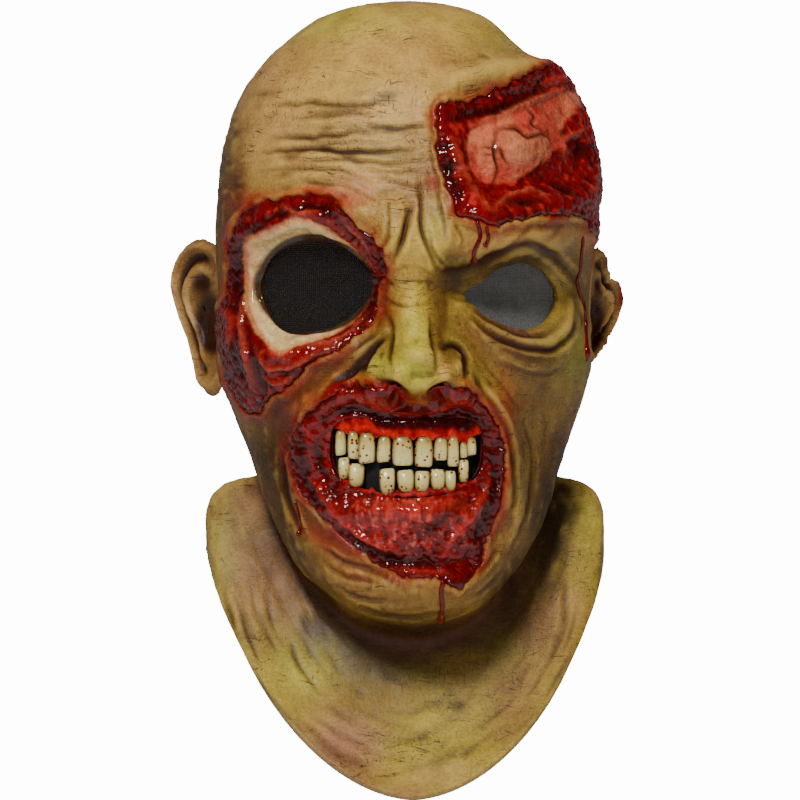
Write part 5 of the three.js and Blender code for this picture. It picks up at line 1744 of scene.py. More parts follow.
@dataclass
class Ear:
    """A detailed ear: rolled rim, inner ridge, bowl and tragus on its face, and a plain domed back."""

    form: EarForm
    height: float = 79.0
    width: float = 41.0
    thickness: float = 7.0
    middle: tuple[float, float] = (0.42, 0.06)
    level: float = 0.513
    around: int = 120
    outward: int = 34

    def face(self, out: Array, u: Array, v: Array) -> Array:
        """Height of the ear's face in millimetres, as sums of exp(-d^2) hills and dents.

        Args:
            out: share of the way from the middle to the outline.
            u: share of the width back from the root.
            v: share of the height above the middle.

        Returns:
            The height over the ear's plane.
        """
        rear = smoothstep(u, 0.15, 0.45)
        rim = 3.6 * bell(out, 0.9, 0.085) * mix(0.55, 1.0, rear)
        groove = -2.4 * bell(out, 0.74, 0.09) * rear
        ridge = 2.2 * bell(out, 0.56, 0.085) * rear
        bowl = -5.6 * bell(u, 0.28, 0.22) * bell(v, -0.05, 0.15)
        upper = -2.4 * bell(u, 0.45, 0.2) * bell(v, 0.24, 0.07)
        tragus = 3.2 * bell(u, 0.06, 0.08) * bell(v, -0.06, 0.07)
        lobe = 1.4 * bell(u, 0.2, 0.2) * bell(v, -0.38, 0.1)
        return 0.4 + rim + groove + ridge + bowl + upper + tragus + lobe

    def build(self) -> bpy.types.Object:
        """Makes the ear as a closed form of rings round its middle."""
        side, turn = self.form.side, math.radians(self.form.turn)
        rear = np.array([side * math.sin(turn), math.cos(turn), 0.0])
        face = np.array([side * math.cos(turn), -math.sin(turn), 0.0])
        root = np.array([side * (FORM.half_head - FORM.wall), 0.0, FORM.spot(0, self.level)[1]])
        knots = np.array(self.form.outline)
        rim = catmull(knots, np.linspace(0, len(knots), self.around, endpoint=False), closed=True)
        ragged = 0.012 * noise(np.insert(rim * 60, 2, 0.0, axis=1), 3.0, 60, 2)
        rim = rim + ragged[:, None] * unit(rim - np.array(self.middle)) * (2.5 if side > 0 else 0.6)
        out = np.linspace(1.0 / self.outward, 1.0, self.outward)
        flat = mix(np.array(self.middle), rim[None], out[:, None, None])
        u, v = flat[..., 0], flat[..., 1]
        share = out[:, None] + np.zeros(self.around)
        edge = smoothstep(share, 1.0, 0.9)
        front = self.face(share, u, v) * edge
        back = -mix(0.4, 3.4, np.sqrt(np.clip(1 - share**4, 0, 1)))
        spots = root + u[..., None] * self.width * rear + v[..., None] * self.height * np.array([0, 0, 1.0])
        rough = 0.35 * noise(spots, 3.0, 61, 2)
        sheet = np.concatenate([spots + (front + rough)[..., None] * face,
                                (spots + (back + rough)[..., None] * face)[::-1]])
        level = np.concatenate([front, back[::-1]]).ravel()
        points = sheet.reshape(-1, 3)
        quads = grid_quads(2 * self.outward, self.around, wrap=True)
        points[:, 0] = side * np.maximum(side * points[:, 0], FORM.half_head - 1.3 * FORM.wall)
        build = Build(points, [quads if side > 0 else quads[:, ::-1]])
        caps = end_caps(self.around, len(points))
        build.faces.append(caps[:, ::-1] if side > 0 else caps)
        draw = VIEW.draw(points)
        cloud = smoothstep(noise(points, 14.0, 62, 2), -0.2, 0.4)
        tint = stained(EAR_TAN, EAR_BROWN, cloud)
        # Painted shade in the ear's hollows, and painted light on its highest crests.
        hollow = smoothstep(level, 1.6, -2.2)
        tint = stained(tint, EAR_HOLLOW_SHADE, 0.95 * hollow * (level > -3.3))
        tint = stained(tint, EAR_CREST_LIGHT, 0.5 * smoothstep(level, 2.2, 4.0))
        if side > 0:
            torn_edge = smoothstep(draw[:, 0], *EAR_TEAR_SIDE) * smoothstep(draw[:, 1], *EAR_TEAR_TOP)
            torn_edge = torn_edge * smoothstep(draw[:, 1], *EAR_TEAR_FOOT)
            tint = stained(tint, BLOOD, torn_edge)
            notch = oval(draw, *EAR_NOTCH, 1.0)
            tint = stained(tint, DARK_BLOOD, np.clip(1.4 * notch, 0, 1))
        build.values.update({"paint": tint, "crease_shade": 0.9 * hollow, "hollow": np.zeros(len(points)),
                             "wound": np.full(len(points), OUTSIDE), "inner": np.zeros(len(points))})
        return build.make("left_ear" if side < 0 else "right_ear")


# Teeth, gums and nets


@dataclass(frozen=True)
class Tooth:
    """A tooth: its place across the mouth, its neck over the bite, and its size, as the solids have it."""

    x: float
    neck: float
    wide: float
    tall: float


UPPER_ROW: tuple[Tooth, ...] = (
    Tooth(-0.86, 0.96, 0.36, 0.85), Tooth(-0.7, 1.04, 0.37, 0.94), Tooth(-0.52, 1.08, 0.54, 1.03),
    Tooth(-0.3, 1.04, 0.44, 0.88), Tooth(-0.07, 1.07, 0.66, 0.99), Tooth(0.21, 1.04, 0.57, 1.02),
    Tooth(0.43, 0.96, 0.44, 0.78), Tooth(0.59, 0.93, 0.38, 1.03), Tooth(0.72, 0.65, 0.24, 0.53),
    Tooth(0.83, 0.75, 0.33, 0.62))
LOWER_ROW: tuple[Tooth, ...] = (
    Tooth(-0.82, -0.66, 0.37, 0.72), Tooth(-0.66, -0.82, 0.5, 0.77), Tooth(-0.26, -0.92, 0.5, 0.87),
    Tooth(-0.02, -0.81, 0.53, 0.74), Tooth(0.18, -0.81, 0.47, 0.69), Tooth(0.39, -0.8, 0.46, 0.69),
    Tooth(0.56, -0.9, 0.35, 0.66), Tooth(0.73, -0.72, 0.33, 0.76))


def seat(x: Array, z: Array, depth: float) -> Array:
    """Returns y of the inside of the wall at x and z, a depth below the form, by Newton's steps."""
    angle, t = np.arcsin(np.clip(x / FORM.half_head, -0.98, 0.98)), np.full(len(x), 10.0)
    for _ in range(14):
        here = FORM.inside(angle, t, depth)
        across = (FORM.inside(angle + STEP, t, depth) - here) / STEP
        down = (FORM.inside(angle, t + STEP, depth) - here) / STEP
        angle = angle + np.clip((x - here[:, 0]) / across[:, 0], -0.1, 0.1)
        t = np.clip(t + np.clip((z - here[:, 2]) / down[:, 2], -1.0, 1.0), 0.2, FORM.last - 0.1)
    return FORM.inside(angle, t, depth)[:, 1]


@dataclass
class Bite:
    """The gums with their teeth, and a near-black plate behind them that stands in for the shade inside the
    mouth.
    """

    tooth_height: float = 14.0
    bite_drop: float = 4.3
    stand: float = 6.0
    root: float = 2.0
    gap: float = 0.35
    around: int = 26
    rings: tuple[tuple[float, float, float], ...] = (
        (0.0, 0.74, 0.7), (0.08, 0.94, 0.86), (0.22, 1.04, 0.95), (0.42, 1.1, 0.97), (0.62, 1.12, 0.88),
        (0.8, 1.1, 0.72), (0.92, 1.06, 0.56), (0.98, 0.94, 0.42), (1.0, 0.7, 0.26))

    def bite(self, share: Array) -> Array:
        """Returns the height of the line where the rows meet, hung in the middle."""
        return FORM.spot(0, MOUTH.z)[1] - self.bite_drop - FORM.mouth_bow * (0.5 - share**2)

    def arch(self, x: Array, z: Array) -> Array:
        """Returns y of the arch's face at x and z."""
        return seat(x, z, FORM.wall + self.gap)

    def teeth(self, row: tuple[Tooth, ...], name: str) -> bpy.types.Object:
        """Makes a row of teeth, each of rings (|cos|^0.7 w/2, |sin|^0.7 depth), waisted at the neck."""
        u, v = squared(2 * np.pi * np.arange(self.around) / self.around, 0.7)
        rings = np.array(self.rings)
        forms, colours = [], []
        rng = np.random.default_rng(7)
        for tooth in row:
            sign = 1.0 if tooth.neck > 0 else -1.0
            wide, tall = tooth.wide * self.tooth_height, tooth.tall * self.tooth_height
            x = FORM.spot(MOUTH.x, 0)[0] + tooth.x * MOUTH.width / 2
            line = float(self.bite(np.array(tooth.x))) + tooth.neck * self.tooth_height
            y = float(self.arch(np.array([x]), np.array([line]))[0])
            depth = (self.stand + self.root) / 2
            lean = rng.uniform(-0.5, 0.5) * rings[:, 0]
            ring = np.stack([
                x + lean[:, None] + u * rings[:, 1:2] * wide / 2,
                y + self.root - depth + v * rings[:, 2:3] * depth,
                line - sign * rings[:, 0:1] * tall + 0.35 * u * rng.uniform(-1, 1) * rings[:, 0:1],
            ], axis=-1).reshape(-1, 3)
            flute = 0.22 * np.cos(3.2 * np.pi * np.tile(u, len(rings))) * np.repeat(rings[:, 0], self.around)
            ring[:, 1] += flute + 0.12 * noise(ring, 1.4, 70)
            quads = grid_quads(len(rings), self.around, wrap=True)
            quads = quads[:, ::-1] if sign < 0 else quads
            caps = end_caps(self.around, len(ring))
            caps = caps if sign < 0 else caps[:, ::-1]
            along = np.repeat(rings[:, 0], self.around)
            ivory = stained(IVORY_NECK, IVORY_TIP, smoothstep(along, 0.05, 0.6))
            # The tartar colour darkens each tooth at its neck and at its sides: tartar stain, and painted
            # shade at the sides that face the gaps between the teeth.
            stain = smoothstep(np.abs(np.tile(u, len(rings))), 0.62, 1.0) + smoothstep(along, 0.16, 0.0)
            ivory = stained(ivory, TARTAR_AND_SHADE, 0.75 * np.clip(stain, 0, 1))
            forms.append((ring, quads, caps))
            colours.append(ivory)
        return gather(forms, {"ivory": np.concatenate(colours)}).make(name)

    def gum(self, row: tuple[Tooth, ...], name: str) -> bpy.types.Object:
        """Makes a gum: a sheet from the mouth's edge to scalloped necks, bulging over each root, with painted
        shade under the lip.

        Its edge follows the necks, lower by scallop cos^2 between two teeth, and rolls back at the end.
        """
        sign = 1.0 if row[0].neck > 0 else -1.0
        columns, lines = 200, 30
        share = np.linspace(-1.12, 1.12, columns)
        at = np.array([tooth.x for tooth in row])
        neck = np.interp(share, at, [tooth.neck for tooth in row]) * self.tooth_height
        gaps = (at[1:] + at[:-1]) / 2
        between = bell(np.min(np.abs(share[:, None] - gaps), axis=1), 0.0, 0.035)
        edge = self.bite(share) + neck - sign * (1.8 * between - 0.2)
        x = FORM.spot(MOUTH.x, 0)[0] + share * MOUTH.width / 2
        end = self.bite(share) + sign * (MOUTH.height / 2 + 5.0) + self.bite_drop
        v = np.linspace(0, 1, lines)[:, None]
        z = mix(end, edge, np.minimum(v / 0.88, 1.0)) + sign * 0.8 * smoothstep(v, 0.9, 1.0)
        px, pz = np.broadcast_to(x, z.shape).ravel(), z.ravel()
        y = self.arch(px, pz)
        rolled = np.sqrt(np.clip(1 - (np.clip(v - 0.88, 0, 1) / 0.12) ** 2, 0, 1))
        bulge = (5.0 * smoothstep(v, 0.0, 0.45) * (1 - 0.12 * between) * rolled).ravel()
        base = np.stack([px, y, pz], axis=1)
        lumps = 0.5 * noise(base, 4.0, 71, 2) + 0.3 * clots(base, 2.4, 72)
        base[:, 1] += 0.4 - bulge - lumps * (bulge > 0.5)
        quads = grid_quads(lines, columns)
        quads = quads if sign > 0 else quads[:, ::-1]
        red = stained(GUM_DARK, GUM_BRIGHT, smoothstep(noise(base, 3.6, 73, 2), -0.3, 0.4))
        # Painted shade on the gum under the lip, near the mouth's edge; less on the upper gum's left side.
        level = np.broadcast_to(v, z.shape) + 0.3 * smoothstep(-share, 0.35, 0.6) * (sign > 0)
        red = stained(red, MAROON_SHADE, 0.92 * smoothstep(level.ravel(), 0.74, 0.56))
        return closed_sheet(base, base + np.array([0.0, 0.8, 0.0]), quads, {"flesh": red}).make(name)

    def shade_plate(self) -> bpy.types.Object:
        """Makes a near-black closed plate behind the teeth that follows the inside: painted shade for the
        dark inside the mouth.
        """
        columns, lines = 60, 40
        loop = FORM.mouth_loop(5.0)
        x, z = np.meshgrid(np.linspace(loop[:, 0].min(), loop[:, 0].max(), columns),
                           np.linspace(loop[:, 1].max(), loop[:, 1].min(), lines))
        x, z = x.ravel(), z.ravel()
        front = np.stack([x, self.arch(x, z) + 2.2, z], axis=1)
        behind = front + np.array([0.0, 1.0, 0.0])
        return closed_sheet(front, behind, grid_quads(lines, columns)).make("mouth_shade_backing")


@dataclass
class EyeNet:
    """A net glued behind an eye opening: crossing threads on the inside of the wall."""

    eye: Opening
    name: str
    pitch: float = 0.95
    thread: float = 0.2
    samples: int = 64
    gap: float = 0.5

    def threads(self, along_x: bool) -> tuple[Array, Array]:
        """Makes the threads of one direction as square tubes that weave up and down by sin."""
        loop = FORM.eye_loop(self.eye, 4.5)
        low, high = loop.min(axis=0), loop.max(axis=0)
        run, step = (0, 1) if along_x else (1, 0)
        lines = np.arange(low[step], high[step], self.pitch)
        along = np.linspace(low[run], high[run], self.samples)
        flat = np.zeros((len(lines), self.samples, 2))
        flat[..., run] = along
        flat[..., step] = lines[:, None]
        spots = flat.reshape(-1, 2)
        keep = (inside_distance(spots, loop) > 0).reshape(len(lines), self.samples)
        y = seat(spots[:, 0], spots[:, 1], FORM.wall + self.gap).reshape(len(lines), self.samples)
        weave = 0.12 * np.where(np.arange(len(lines)) % 2 == 0, 1.0, -1.0)[:, None]
        middle = np.stack([flat[..., 0], y + weave, flat[..., 1]], axis=-1)
        across = np.zeros(3)
        across[0 if step == 0 else 2] = self.thread
        deep = np.array([0.0, self.thread, 0.0])
        corners = np.stack([middle - across - deep, middle + across - deep,
                            middle + across + deep, middle - across + deep], axis=2)
        number = np.arange(corners.size // 3).reshape(corners.shape[:3])
        runs = keep[:, 1:] & keep[:, :-1]
        a, b = number[:, :-1][runs], number[:, 1:][runs]
        quads = np.stack([a, np.roll(a, -1, axis=1), np.roll(b, -1, axis=1), b], axis=-1).reshape(-1, 4)
        quads = quads[:, ::-1] if not along_x else quads
        starts = number[:, 1:][keep[:, 1:] & ~keep[:, :-1]]
        ends = number[:, :-1][keep[:, :-1] & ~keep[:, 1:]]
        caps = [starts[:, ::-1], ends] if along_x else [starts, ends[:, ::-1]]
        return corners.reshape(-1, 3), np.concatenate([quads, *caps])

    def build(self) -> bpy.types.Object:
        """Makes the net of both directions."""
        first, first_faces = self.threads(True)
        second, second_faces = self.threads(False)
        build = Build(np.concatenate([first, second]), [first_faces, second_faces + len(first)])
        return build.make(self.name)


# Materials


class Nodes:
    """Adds nodes to a tree and joins them."""

    def __init__(self, tree: bpy.types.NodeTree) -> None:
        """Keeps the tree."""
        self.tree = tree

    def add(self, kind: str, settings: dict | None = None, **inputs: object) -> bpy.types.Node:
        """Adds a node, sets its properties, and sets or links its inputs by name or number."""
        node = self.tree.nodes.new(kind)
        for key, value in (settings or {}).items():
            setattr(node, key, value)
        for key, value in inputs.items():
            name = key.replace("_", " ")
            socket = node.inputs[int(key[1:])] if key[0] == "i" and key[1:].isdigit() else node.inputs[name]
            self.give(socket, value)
        return node

    def give(self, socket: bpy.types.NodeSocket, value: object) -> None:
        """Links a socket to another, or sets its value."""
        if isinstance(value, bpy.types.NodeSocket):
            self.tree.links.new(value, socket)
        else:
            colour = socket.type == "RGBA" and len(value) == 3
            socket.default_value = (*value, 1.0) if colour else value

    def attribute(self, name: str) -> bpy.types.Node:
        """Adds a reader of one of the mesh's values."""
        return self.add("ShaderNodeAttribute", {"attribute_name": name})

    def ramp(self, value: bpy.types.NodeSocket, low: float, high: float) -> bpy.types.NodeSocket:
        """Returns the smooth share of the way of a value from low to high."""
        node = self.add("ShaderNodeMapRange", {"interpolation_type": "SMOOTHSTEP"},
                        Value=value, From_Min=low, From_Max=high)
        return node.outputs["Result"]

    def math(self, operation: str, a: object, b: object = 0.0) -> bpy.types.NodeSocket:
        """Returns the result of a sum on two values."""
        return self.add("ShaderNodeMath", {"operation": operation}, i0=a, i1=b).outputs[0]

    def blend(self, share: object, a: object, b: object, way: str = "MIX") -> bpy.types.NodeSocket:
        """Returns a mix of two colours."""
        node = self.add("ShaderNodeMix", {"data_type": "RGBA", "blend_type": way})
        self.give(node.inputs[0], share)
        self.give(node.inputs[6], a)
        self.give(node.inputs[7], b)
        return node.outputs[2]

    def noise(self, place: bpy.types.NodeSocket, scale: float, detail: float = 3.0) -> bpy.types.NodeSocket:
        """Returns a noise value."""
        return self.add("ShaderNodeTexNoise", Vector=place, Scale=scale, Detail=detail).outputs["Fac"]


class Group:
    """A shader node group with named inputs and outputs, built once and placed where it is used."""

    def __init__(self, name: str, inputs: dict[str, tuple[str, object]], outputs: dict[str, str]) -> None:
        """Makes the group and its sockets."""
        self.tree = bpy.data.node_groups.new(name, "ShaderNodeTree")
        for label, (kind, value) in inputs.items():
            socket = self.tree.interface.new_socket(name=label, in_out="INPUT", socket_type=kind)
            if value is not None:
                socket.default_value = value
        for label, kind in outputs.items():
            self.tree.interface.new_socket(name=label, in_out="OUTPUT", socket_type=kind)
        self.nodes = Nodes(self.tree)
        self.source = self.tree.nodes.new("NodeGroupInput")
        self.sink = self.tree.nodes.new("NodeGroupOutput")

    def put(self, name: str, socket: bpy.types.NodeSocket) -> None:
        """Sends a value to an output."""
        self.tree.links.new(socket, self.sink.inputs[name])

    def use(self, nodes: Nodes, **inputs: object) -> bpy.types.Node:
        """Places the group in a material with its own values."""
        node = nodes.tree.nodes.new("ShaderNodeGroup")
        node.node_tree = self.tree
        for key, value in inputs.items():
            nodes.give(node.inputs[key.replace("_", " ")], value)
        return node


class Finish:
    """A new material, with its nodes, its shader and the object's own coordinates."""

    def __init__(self, name: str) -> None:
        """Makes the material."""
        self.material = bpy.data.materials.new(name)
        self.material.use_nodes = True
        self.nodes = Nodes(self.material.node_tree)
        self.shader = self.material.node_tree.nodes["Principled BSDF"]
        self.place = self.nodes.add("ShaderNodeTexCoord").outputs["Object"]

    def uneven(self, scale: float, detail: float, amount: float, least: float) -> bpy.types.NodeSocket:
        """Returns least + amount * noise."""
        rough = self.nodes.noise(self.place, scale, detail)
        return self.nodes.math("ADD", self.nodes.math("MULTIPLY", rough, amount), least)

    def dressed(self, height: bpy.types.NodeSocket, strength: float, distance: float,
                values: dict[str, object]) -> bpy.types.Material:
        """Gives the shader a bump and its other values, and returns the material."""
        bump = self.nodes.add("ShaderNodeBump", Height=height, Strength=strength, Distance=distance)
        for name, value in (values | {"Normal": bump.outputs["Normal"]}).items():
            self.nodes.give(self.shader.inputs[name], value)
        return self.material


FLOAT, VECTOR, COLOUR = "NodeSocketFloat", "NodeSocketVector", "NodeSocketColor"


def mottle_group() -> Group:
    """Uneven colour: darker and lighter clouds at two scales, laid over a colour."""
    group = Group("mottle", {"Place": (VECTOR, None), "Colour": (COLOUR, (0.5, 0.5, 0.5, 1)),
                             "Scale": (FLOAT, 60.0), "Strength": (FLOAT, 0.3)},
                  {"Colour": COLOUR, "Cloud": FLOAT})
    n, source = group.nodes, group.source.outputs
    large = n.add("ShaderNodeTexNoise", Vector=source["Place"], Scale=source["Scale"],
                  Detail=5.0).outputs["Fac"]
    fine = n.noise(source["Place"], 620.0, 4.0)
    cloud = n.math("ADD", n.math("MULTIPLY", n.ramp(large, 0.34, 0.66), 0.55),
                   n.math("MULTIPLY", n.ramp(fine, 0.34, 0.66), 0.45))
    dark = n.blend(1.0, source["Colour"], (0.52, 0.44, 0.36), "MULTIPLY")
    light = n.blend(0.35, source["Colour"], (0.9, 0.8, 0.5), "SOFT_LIGHT")
    both = n.blend(cloud, dark, light)
    group.put("Colour", n.blend(source["Strength"], source["Colour"], both))
    group.put("Cloud", cloud)
    return group


def scratch_group() -> Group:
    """Fine hair-like scratches: thresholded noise, drawn out along one direction of the place given."""
    group = Group("scratches", {"Place": (VECTOR, None), "Stretch": (VECTOR, (1.0, 1.0, 1.0)),
                                "Density": (FLOAT, 0.6)}, {"Mask": FLOAT})
    n, source = group.nodes, group.source.outputs
    bend = n.add("ShaderNodeTexNoise", Vector=source["Place"], Scale=30.0, Detail=2.0).outputs["Color"]
    bent = n.add("ShaderNodeVectorMath", {"operation": "MULTIPLY_ADD"},
                 i0=bend, i1=(0.02, 0.02, 0.02), i2=source["Place"]).outputs[0]
    drawn = n.add("ShaderNodeVectorMath", {"operation": "MULTIPLY"}, i0=bent, i1=source["Stretch"]).outputs[0]
    lines = n.add("ShaderNodeTexNoise", Vector=drawn, Scale=1.0, Detail=2.0, Roughness=0.6).outputs["Fac"]
    thin = n.ramp(lines, 0.6, 0.68)
    patches = n.ramp(n.noise(source["Place"], 42.0, 3.0), 0.42, 0.58)
    group.put("Mask", n.math("MULTIPLY", n.math("MULTIPLY", thin, patches), source["Density"]))
    return group


def grain_group() -> Group:
    """Height of cast latex: pores and fine crosswise lines."""
    group = Group("grain", {"Place": (VECTOR, None), "Scale": (FLOAT, 900.0)}, {"Height": FLOAT})
    n, source = group.nodes, group.source.outputs
    pores = n.add("ShaderNodeTexVoronoi", Vector=source["Place"], Scale=source["Scale"]).outputs["Distance"]
    rough = n.noise(source["Place"], 380.0, 6.0)
    lined = n.add("ShaderNodeVectorMath", {"operation": "MULTIPLY"}, i0=source["Place"],
                  i1=(90.0, 90.0, 640.0)).outputs[0]
    lines = n.add("ShaderNodeTexNoise", Vector=lined, Scale=1.0, Detail=3.0).outputs["Fac"]
    total = n.math("ADD", n.math("MULTIPLY", pores, 0.35), n.math("MULTIPLY", rough, 0.8))
    group.put("Height", n.math("ADD", total, n.math("MULTIPLY", lines, 0.55)))
    return group


@dataclass(frozen=True)
class Effects:
    """The shared node groups."""

    mottle: Group
    scratches: Group
    grain: Group


@dataclass(frozen=True)
class LatexFinish:
    """Painted satin latex: airbrushed colour, painted shade in the folds and hollows, painted light on the
    crests, and scratches.
    """

    name: str = "painted_latex"
    roughness: float = 0.5
    coat: float = 0.06
    bump: float = 0.0009

    def make(self, effects: Effects) -> bpy.types.Material:
        """Builds the material."""
        finish = Finish(self.name)
        n, place = finish.nodes, finish.place
        paint = n.attribute("paint").outputs["Color"]
        crease_shade, hollow, wound, inner = (n.attribute(name).outputs["Fac"]
                                      for name in ("crease_shade", "hollow", "wound", "inner"))
        colour = effects.mottle.use(n, Place=place, Colour=paint, Scale=60.0, Strength=0.72).outputs["Colour"]
        # Painted light on the crests, and painted shade in the hollows and creases.
        crest = n.ramp(n.math("MULTIPLY", hollow, -1.0), 0.1, 1.5)
        colour = n.blend(n.math("MULTIPLY", crest, 0.42), colour, CREST_LIGHT)
        dip = n.ramp(hollow, 0.1, 1.5)
        colour = n.blend(n.math("MULTIPLY", dip, 0.8), colour, HOLLOW_SHADE)
        colour = n.blend(n.ramp(crease_shade, 0.0, 1.0), colour, FOLD_SHADE)
        for stretch, density in (((1200.0, 1200.0, 55.0), 0.8), ((90.0, 90.0, 1250.0), 0.8)):
            mask = effects.scratches.use(n, Place=place, Stretch=stretch, Density=density).outputs["Mask"]
            colour = n.blend(mask, colour, SCRATCH_INK)
        broken = n.ramp(n.noise(place, 55.0, 3.0), 0.36, 0.6)
        patchy = n.math("ADD", n.math("MULTIPLY", broken, 0.7), 0.3)
        near = n.math("MULTIPLY", n.ramp(wound, -13.0, -0.5), patchy)
        colour = n.blend(n.math("MULTIPLY", near, 0.95), colour, BLOOD_HALO)
        # Painted shade on the skin inside the tear, where it runs under the wet flesh.
        colour = n.blend(n.ramp(wound, -2.0, 1.5), colour, WOUND_EDGE_SHADE)
        colour = n.blend(inner, colour, BARE_LATEX)
        level = finish.uneven(140.0, 4.0, 0.24, self.roughness - 0.12)
        height = effects.grain.use(n, Place=place, Scale=900.0).outputs["Height"]
        return finish.dressed(height, 0.55, self.bump, {
            "Base Color": colour, "Roughness": n.math("SUBTRACT", level, n.math("MULTIPLY", near, 0.2)),
            "Coat Weight": self.coat, "Coat Roughness": 0.28, "Specular IOR Level": 0.28})


@dataclass(frozen=True)
class WetFinish:
    """Wet raw flesh under a clear coat, with its colour from the mesh."""

    name: str
    roughness: float = 0.36
    coat: float = 0.75
    mottle: float = 0.7
    bump: float = 0.0021

    def make(self, effects: Effects) -> bpy.types.Material:
        """Builds the material."""
        finish = Finish(self.name)
        n, place = finish.nodes, finish.place
        base = n.attribute("flesh").outputs["Color"]
        mottled = effects.mottle.use(n, Place=place, Colour=base, Scale=210.0, Strength=self.mottle)
        return finish.dressed(n.noise(place, 520.0, 5.0), 0.6, self.bump, {
            "Base Color": mottled.outputs["Colour"],
            "Roughness": finish.uneven(260.0, 3.0, 0.3, self.roughness - 0.15),
            "Coat Weight": self.coat, "Coat Roughness": 0.07, "Specular IOR Level": 0.04})


@dataclass(frozen=True)
class ToothFinish:
    """Yellowed glossy enamel with stains and small specks of blood."""

    name: str = "enamel"

    def make(self, effects: Effects) -> bpy.types.Material:
        """Builds the material."""
        finish = Finish(self.name)
        n, place = finish.nodes, finish.place
        base = n.attribute("ivory").outputs["Color"]
        colour = effects.mottle.use(n, Place=place, Colour=base, Scale=160.0, Strength=0.35).outputs["Colour"]
        cells = n.add("ShaderNodeTexVoronoi", Vector=place, Scale=430.0)
        dot = n.ramp(cells.outputs["Distance"], 0.36, 0.24)
        chosen = n.ramp(n.noise(place, 120.0, 1.0), 0.44, 0.5)
        colour = n.blend(n.math("MULTIPLY", dot, chosen), colour, BLOOD_SPECK)
        return finish.dressed(n.noise(place, 420.0, 4.0), 0.3, 0.0005, {
            "Base Color": colour, "Roughness": finish.uneven(300.0, 3.0, 0.25, 0.14),
            "Coat Weight": 0.6, "Coat Roughness": 0.12})


@dataclass(frozen=True)
class ClothFinish:
    """Dull thread, or a dull near-black plate of painted shade, with an uneven colour."""

    name: str
    colour: tuple[float, float, float]
    roughness: float = 0.8

    def make(self, effects: Effects) -> bpy.types.Material:
        """Builds the material."""
        finish = Finish(self.name)
        n, place = finish.nodes, finish.place
        mottled = effects.mottle.use(n, Place=place, Colour=self.colour, Scale=90.0, Strength=0.5)
        return finish.dressed(n.noise(place, 2400.0, 2.0), 0.4, 0.0002, {
            "Base Color": mottled.outputs["Colour"],
            "Roughness": finish.uneven(700.0, 2.0, 0.2, self.roughness - 0.1)})


# The studio


@dataclass
class Lamp:
    """A soft square light: where it stands, what it points at, and its size and power."""

    name: str
    spot: tuple[float, float, float]
    size: float
    power: float
    mirrored: bool = False
    aim: tuple[float, float, float] = (0.0, 0.0, -0.2)

    def build(self) -> None:
        """Makes the light. Only a mirrored one shows in the wet gloss."""
        data = bpy.data.lights.new(self.name, "AREA")
        data.energy = self.power
        data.size = self.size
        lamp = bpy.data.objects.new(self.name, data)
        away = np.array(self.spot) - np.array(self.aim)
        turn = math.atan2(away[0], -away[1])
        tilt = math.atan2(math.hypot(away[0], away[1]), away[2])
        lamp.visible_glossy = self.mirrored
        lamp.location = self.spot
        lamp.rotation_euler = (tilt, 0.0, turn)
        bpy.context.scene.collection.objects.link(lamp)


@dataclass
class Studio:
    """A near-white floor that curves up behind the mask, soft lights, and the camera."""

    floor_z: float = -0.62
    half: float = 6.0
    depth: float = 5.0
    bend: float = 0.8
    glow: float = 14.0
    sky: float = 0.22
    lamps: tuple[Lamp, ...] = (
        Lamp("key", (-0.45, -1.5, 0.95), 0.36, 27.0, True),
        Lamp("fill", (1.1, -1.6, 0.1), 0.8, 4.6),
        Lamp("top", (0.1, -0.5, 1.3), 0.5, 7.6),
    )

    def build(self) -> None:
        """Makes the floor, lights, world and camera."""
        a = np.linspace(0, np.pi / 2, 16)
        y = np.concatenate([[-3.0], self.depth + self.bend * np.sin(a), [self.depth + self.bend]])
        z = np.concatenate([[0.0], self.bend * (1 - np.cos(a)), [4.0]]) + self.floor_z
        x = np.array([-self.half, self.half])
        points = np.stack([np.tile(x, len(y)), np.repeat(y, 2), np.repeat(z, 2)], axis=1) / MM
        floor = Build(points, [grid_quads(len(y), 2)[:, ::-1]]).make("floor")
        paper = bpy.data.materials.new("floor_paper")
        paper.use_nodes = True
        n = Nodes(paper.node_tree)
        seen = n.add("ShaderNodeLightPath").outputs["Is Camera Ray"]
        values = {"Base Color": (0.9, 0.9, 0.9), "Roughness": 0.9, "Emission Color": (1.0, 1.0, 1.0),
                  "Emission Strength": n.math("MULTIPLY", seen, self.glow)}
        for name, value in values.items():
            n.give(n.tree.nodes["Principled BSDF"].inputs[name], value)
        floor.data.materials.append(paper)
        for lamp in self.lamps:
            lamp.build()
        world = bpy.data.worlds.new("studio")
        bpy.context.scene.world = world
        world.use_nodes = True
        n = Nodes(world.node_tree)
        rays = n.add("ShaderNodeLightPath").outputs
        dimmed = n.math("ADD", n.math("MULTIPLY", rays["Is Glossy Ray"], -0.8 * self.sky), self.sky)
        bright = n.math("ADD", n.math("MULTIPLY", rays["Is Camera Ray"], self.glow), dimmed)
        background = n.tree.nodes["Background"]
        n.give(background.inputs["Color"], (1.0, 1.0, 1.0))
        n.give(background.inputs["Strength"], bright)
        VIEW.camera()


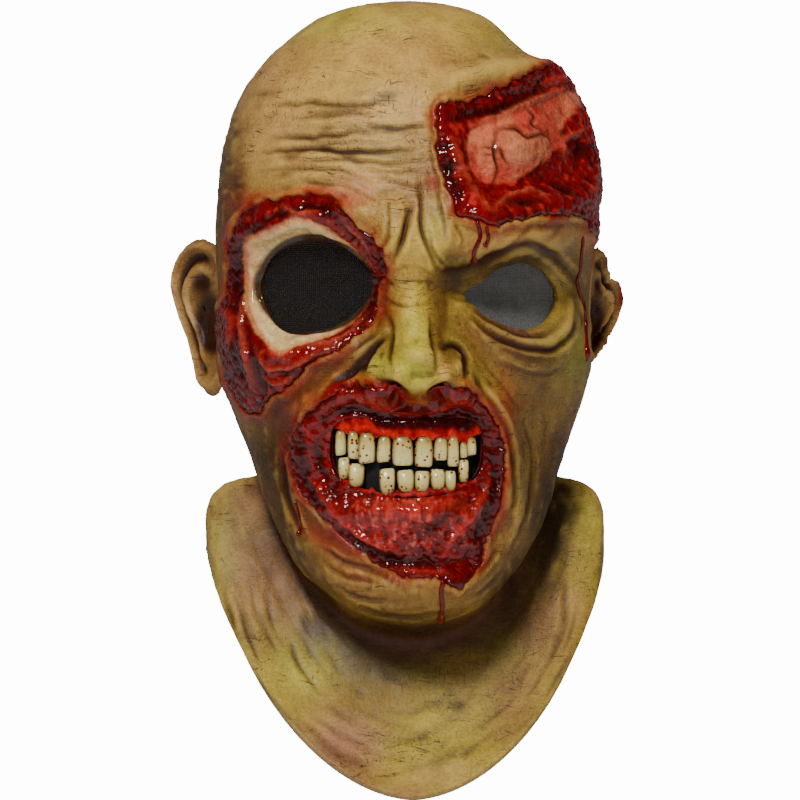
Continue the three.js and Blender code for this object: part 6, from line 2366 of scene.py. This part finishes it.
def main() -> None:
    """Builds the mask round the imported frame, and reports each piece."""
    logging.basicConfig(level=logging.INFO, format="%(message)s")
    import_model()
    effects = Effects(mottle_group(), scratch_group(), grain_group())
    latex = LatexFinish().make(effects)
    flesh = WetFinish("wet_flesh").make(effects)
    gums = WetFinish("wet_gum", roughness=0.28).make(effects)
    enamel = ToothFinish().make(effects)
    black_net = ClothFinish("black_net", (0.004, 0.004, 0.004)).make(effects)
    grey_net = ClothFinish("grey_net", (0.15, 0.155, 0.16)).make(effects)
    # A near-black finish for the plate of painted shade behind the teeth.
    dark = ClothFinish("painted_shade_backing", (0.004, 0.003, 0.003)).make(effects)
    dress(LatexMask().build(), "latex", latex, "mask_shell")
    wounds = (
        WetWound(Wound.FOREHEAD, FOREHEAD_TEAR, FOREHEAD_MARKS, (0.0, 1.75), (2.4, 8.7), 250, 190),
        WetWound(Wound.SOCKET, SOCKET_TEAR, SOCKET_MARKS, (-1.7, -0.04), (6.5, 12.6), 240, 210,
                 FORM.eye_loop(SOCKET, -0.6)),
        WetWound(Wound.MOUTH, MOUTH_TEAR, MOUTH_MARKS, (-0.95, 0.75), (10.2, 15.2), 240, 220,
                 FORM.mouth_loop(-0.6)),
    )
    for wound in wounds:
        dress(wound.build(), "latex", flesh)
    dress(BloodRuns().build(), "latex", flesh)
    dress(Ear(LEFT_EAR).build(), "latex", latex)
    dress(Ear(RIGHT_EAR).build(), "latex", latex)
    bite = Bite()
    dress(bite.teeth(UPPER_ROW, "upper_row"), "teeth", enamel, "upper_teeth")
    dress(bite.gum(UPPER_ROW, "upper_gum"), "teeth", gums)
    dress(bite.teeth(LOWER_ROW, "lower_row"), "teeth", enamel, "lower_teeth")
    dress(bite.gum(LOWER_ROW, "lower_gum"), "teeth", gums)
    dress(bite.shade_plate(), "teeth", dark)
    dress(EyeNet(SOCKET, "left_net", thread=0.24).build(), "eye_net", black_net, "left_eye_net")
    dress(EyeNet(LID, "right_net", thread=0.3).build(), "eye_net", grey_net, "right_eye_net")
    Studio().build()


if __name__ == "__main__":
    main()
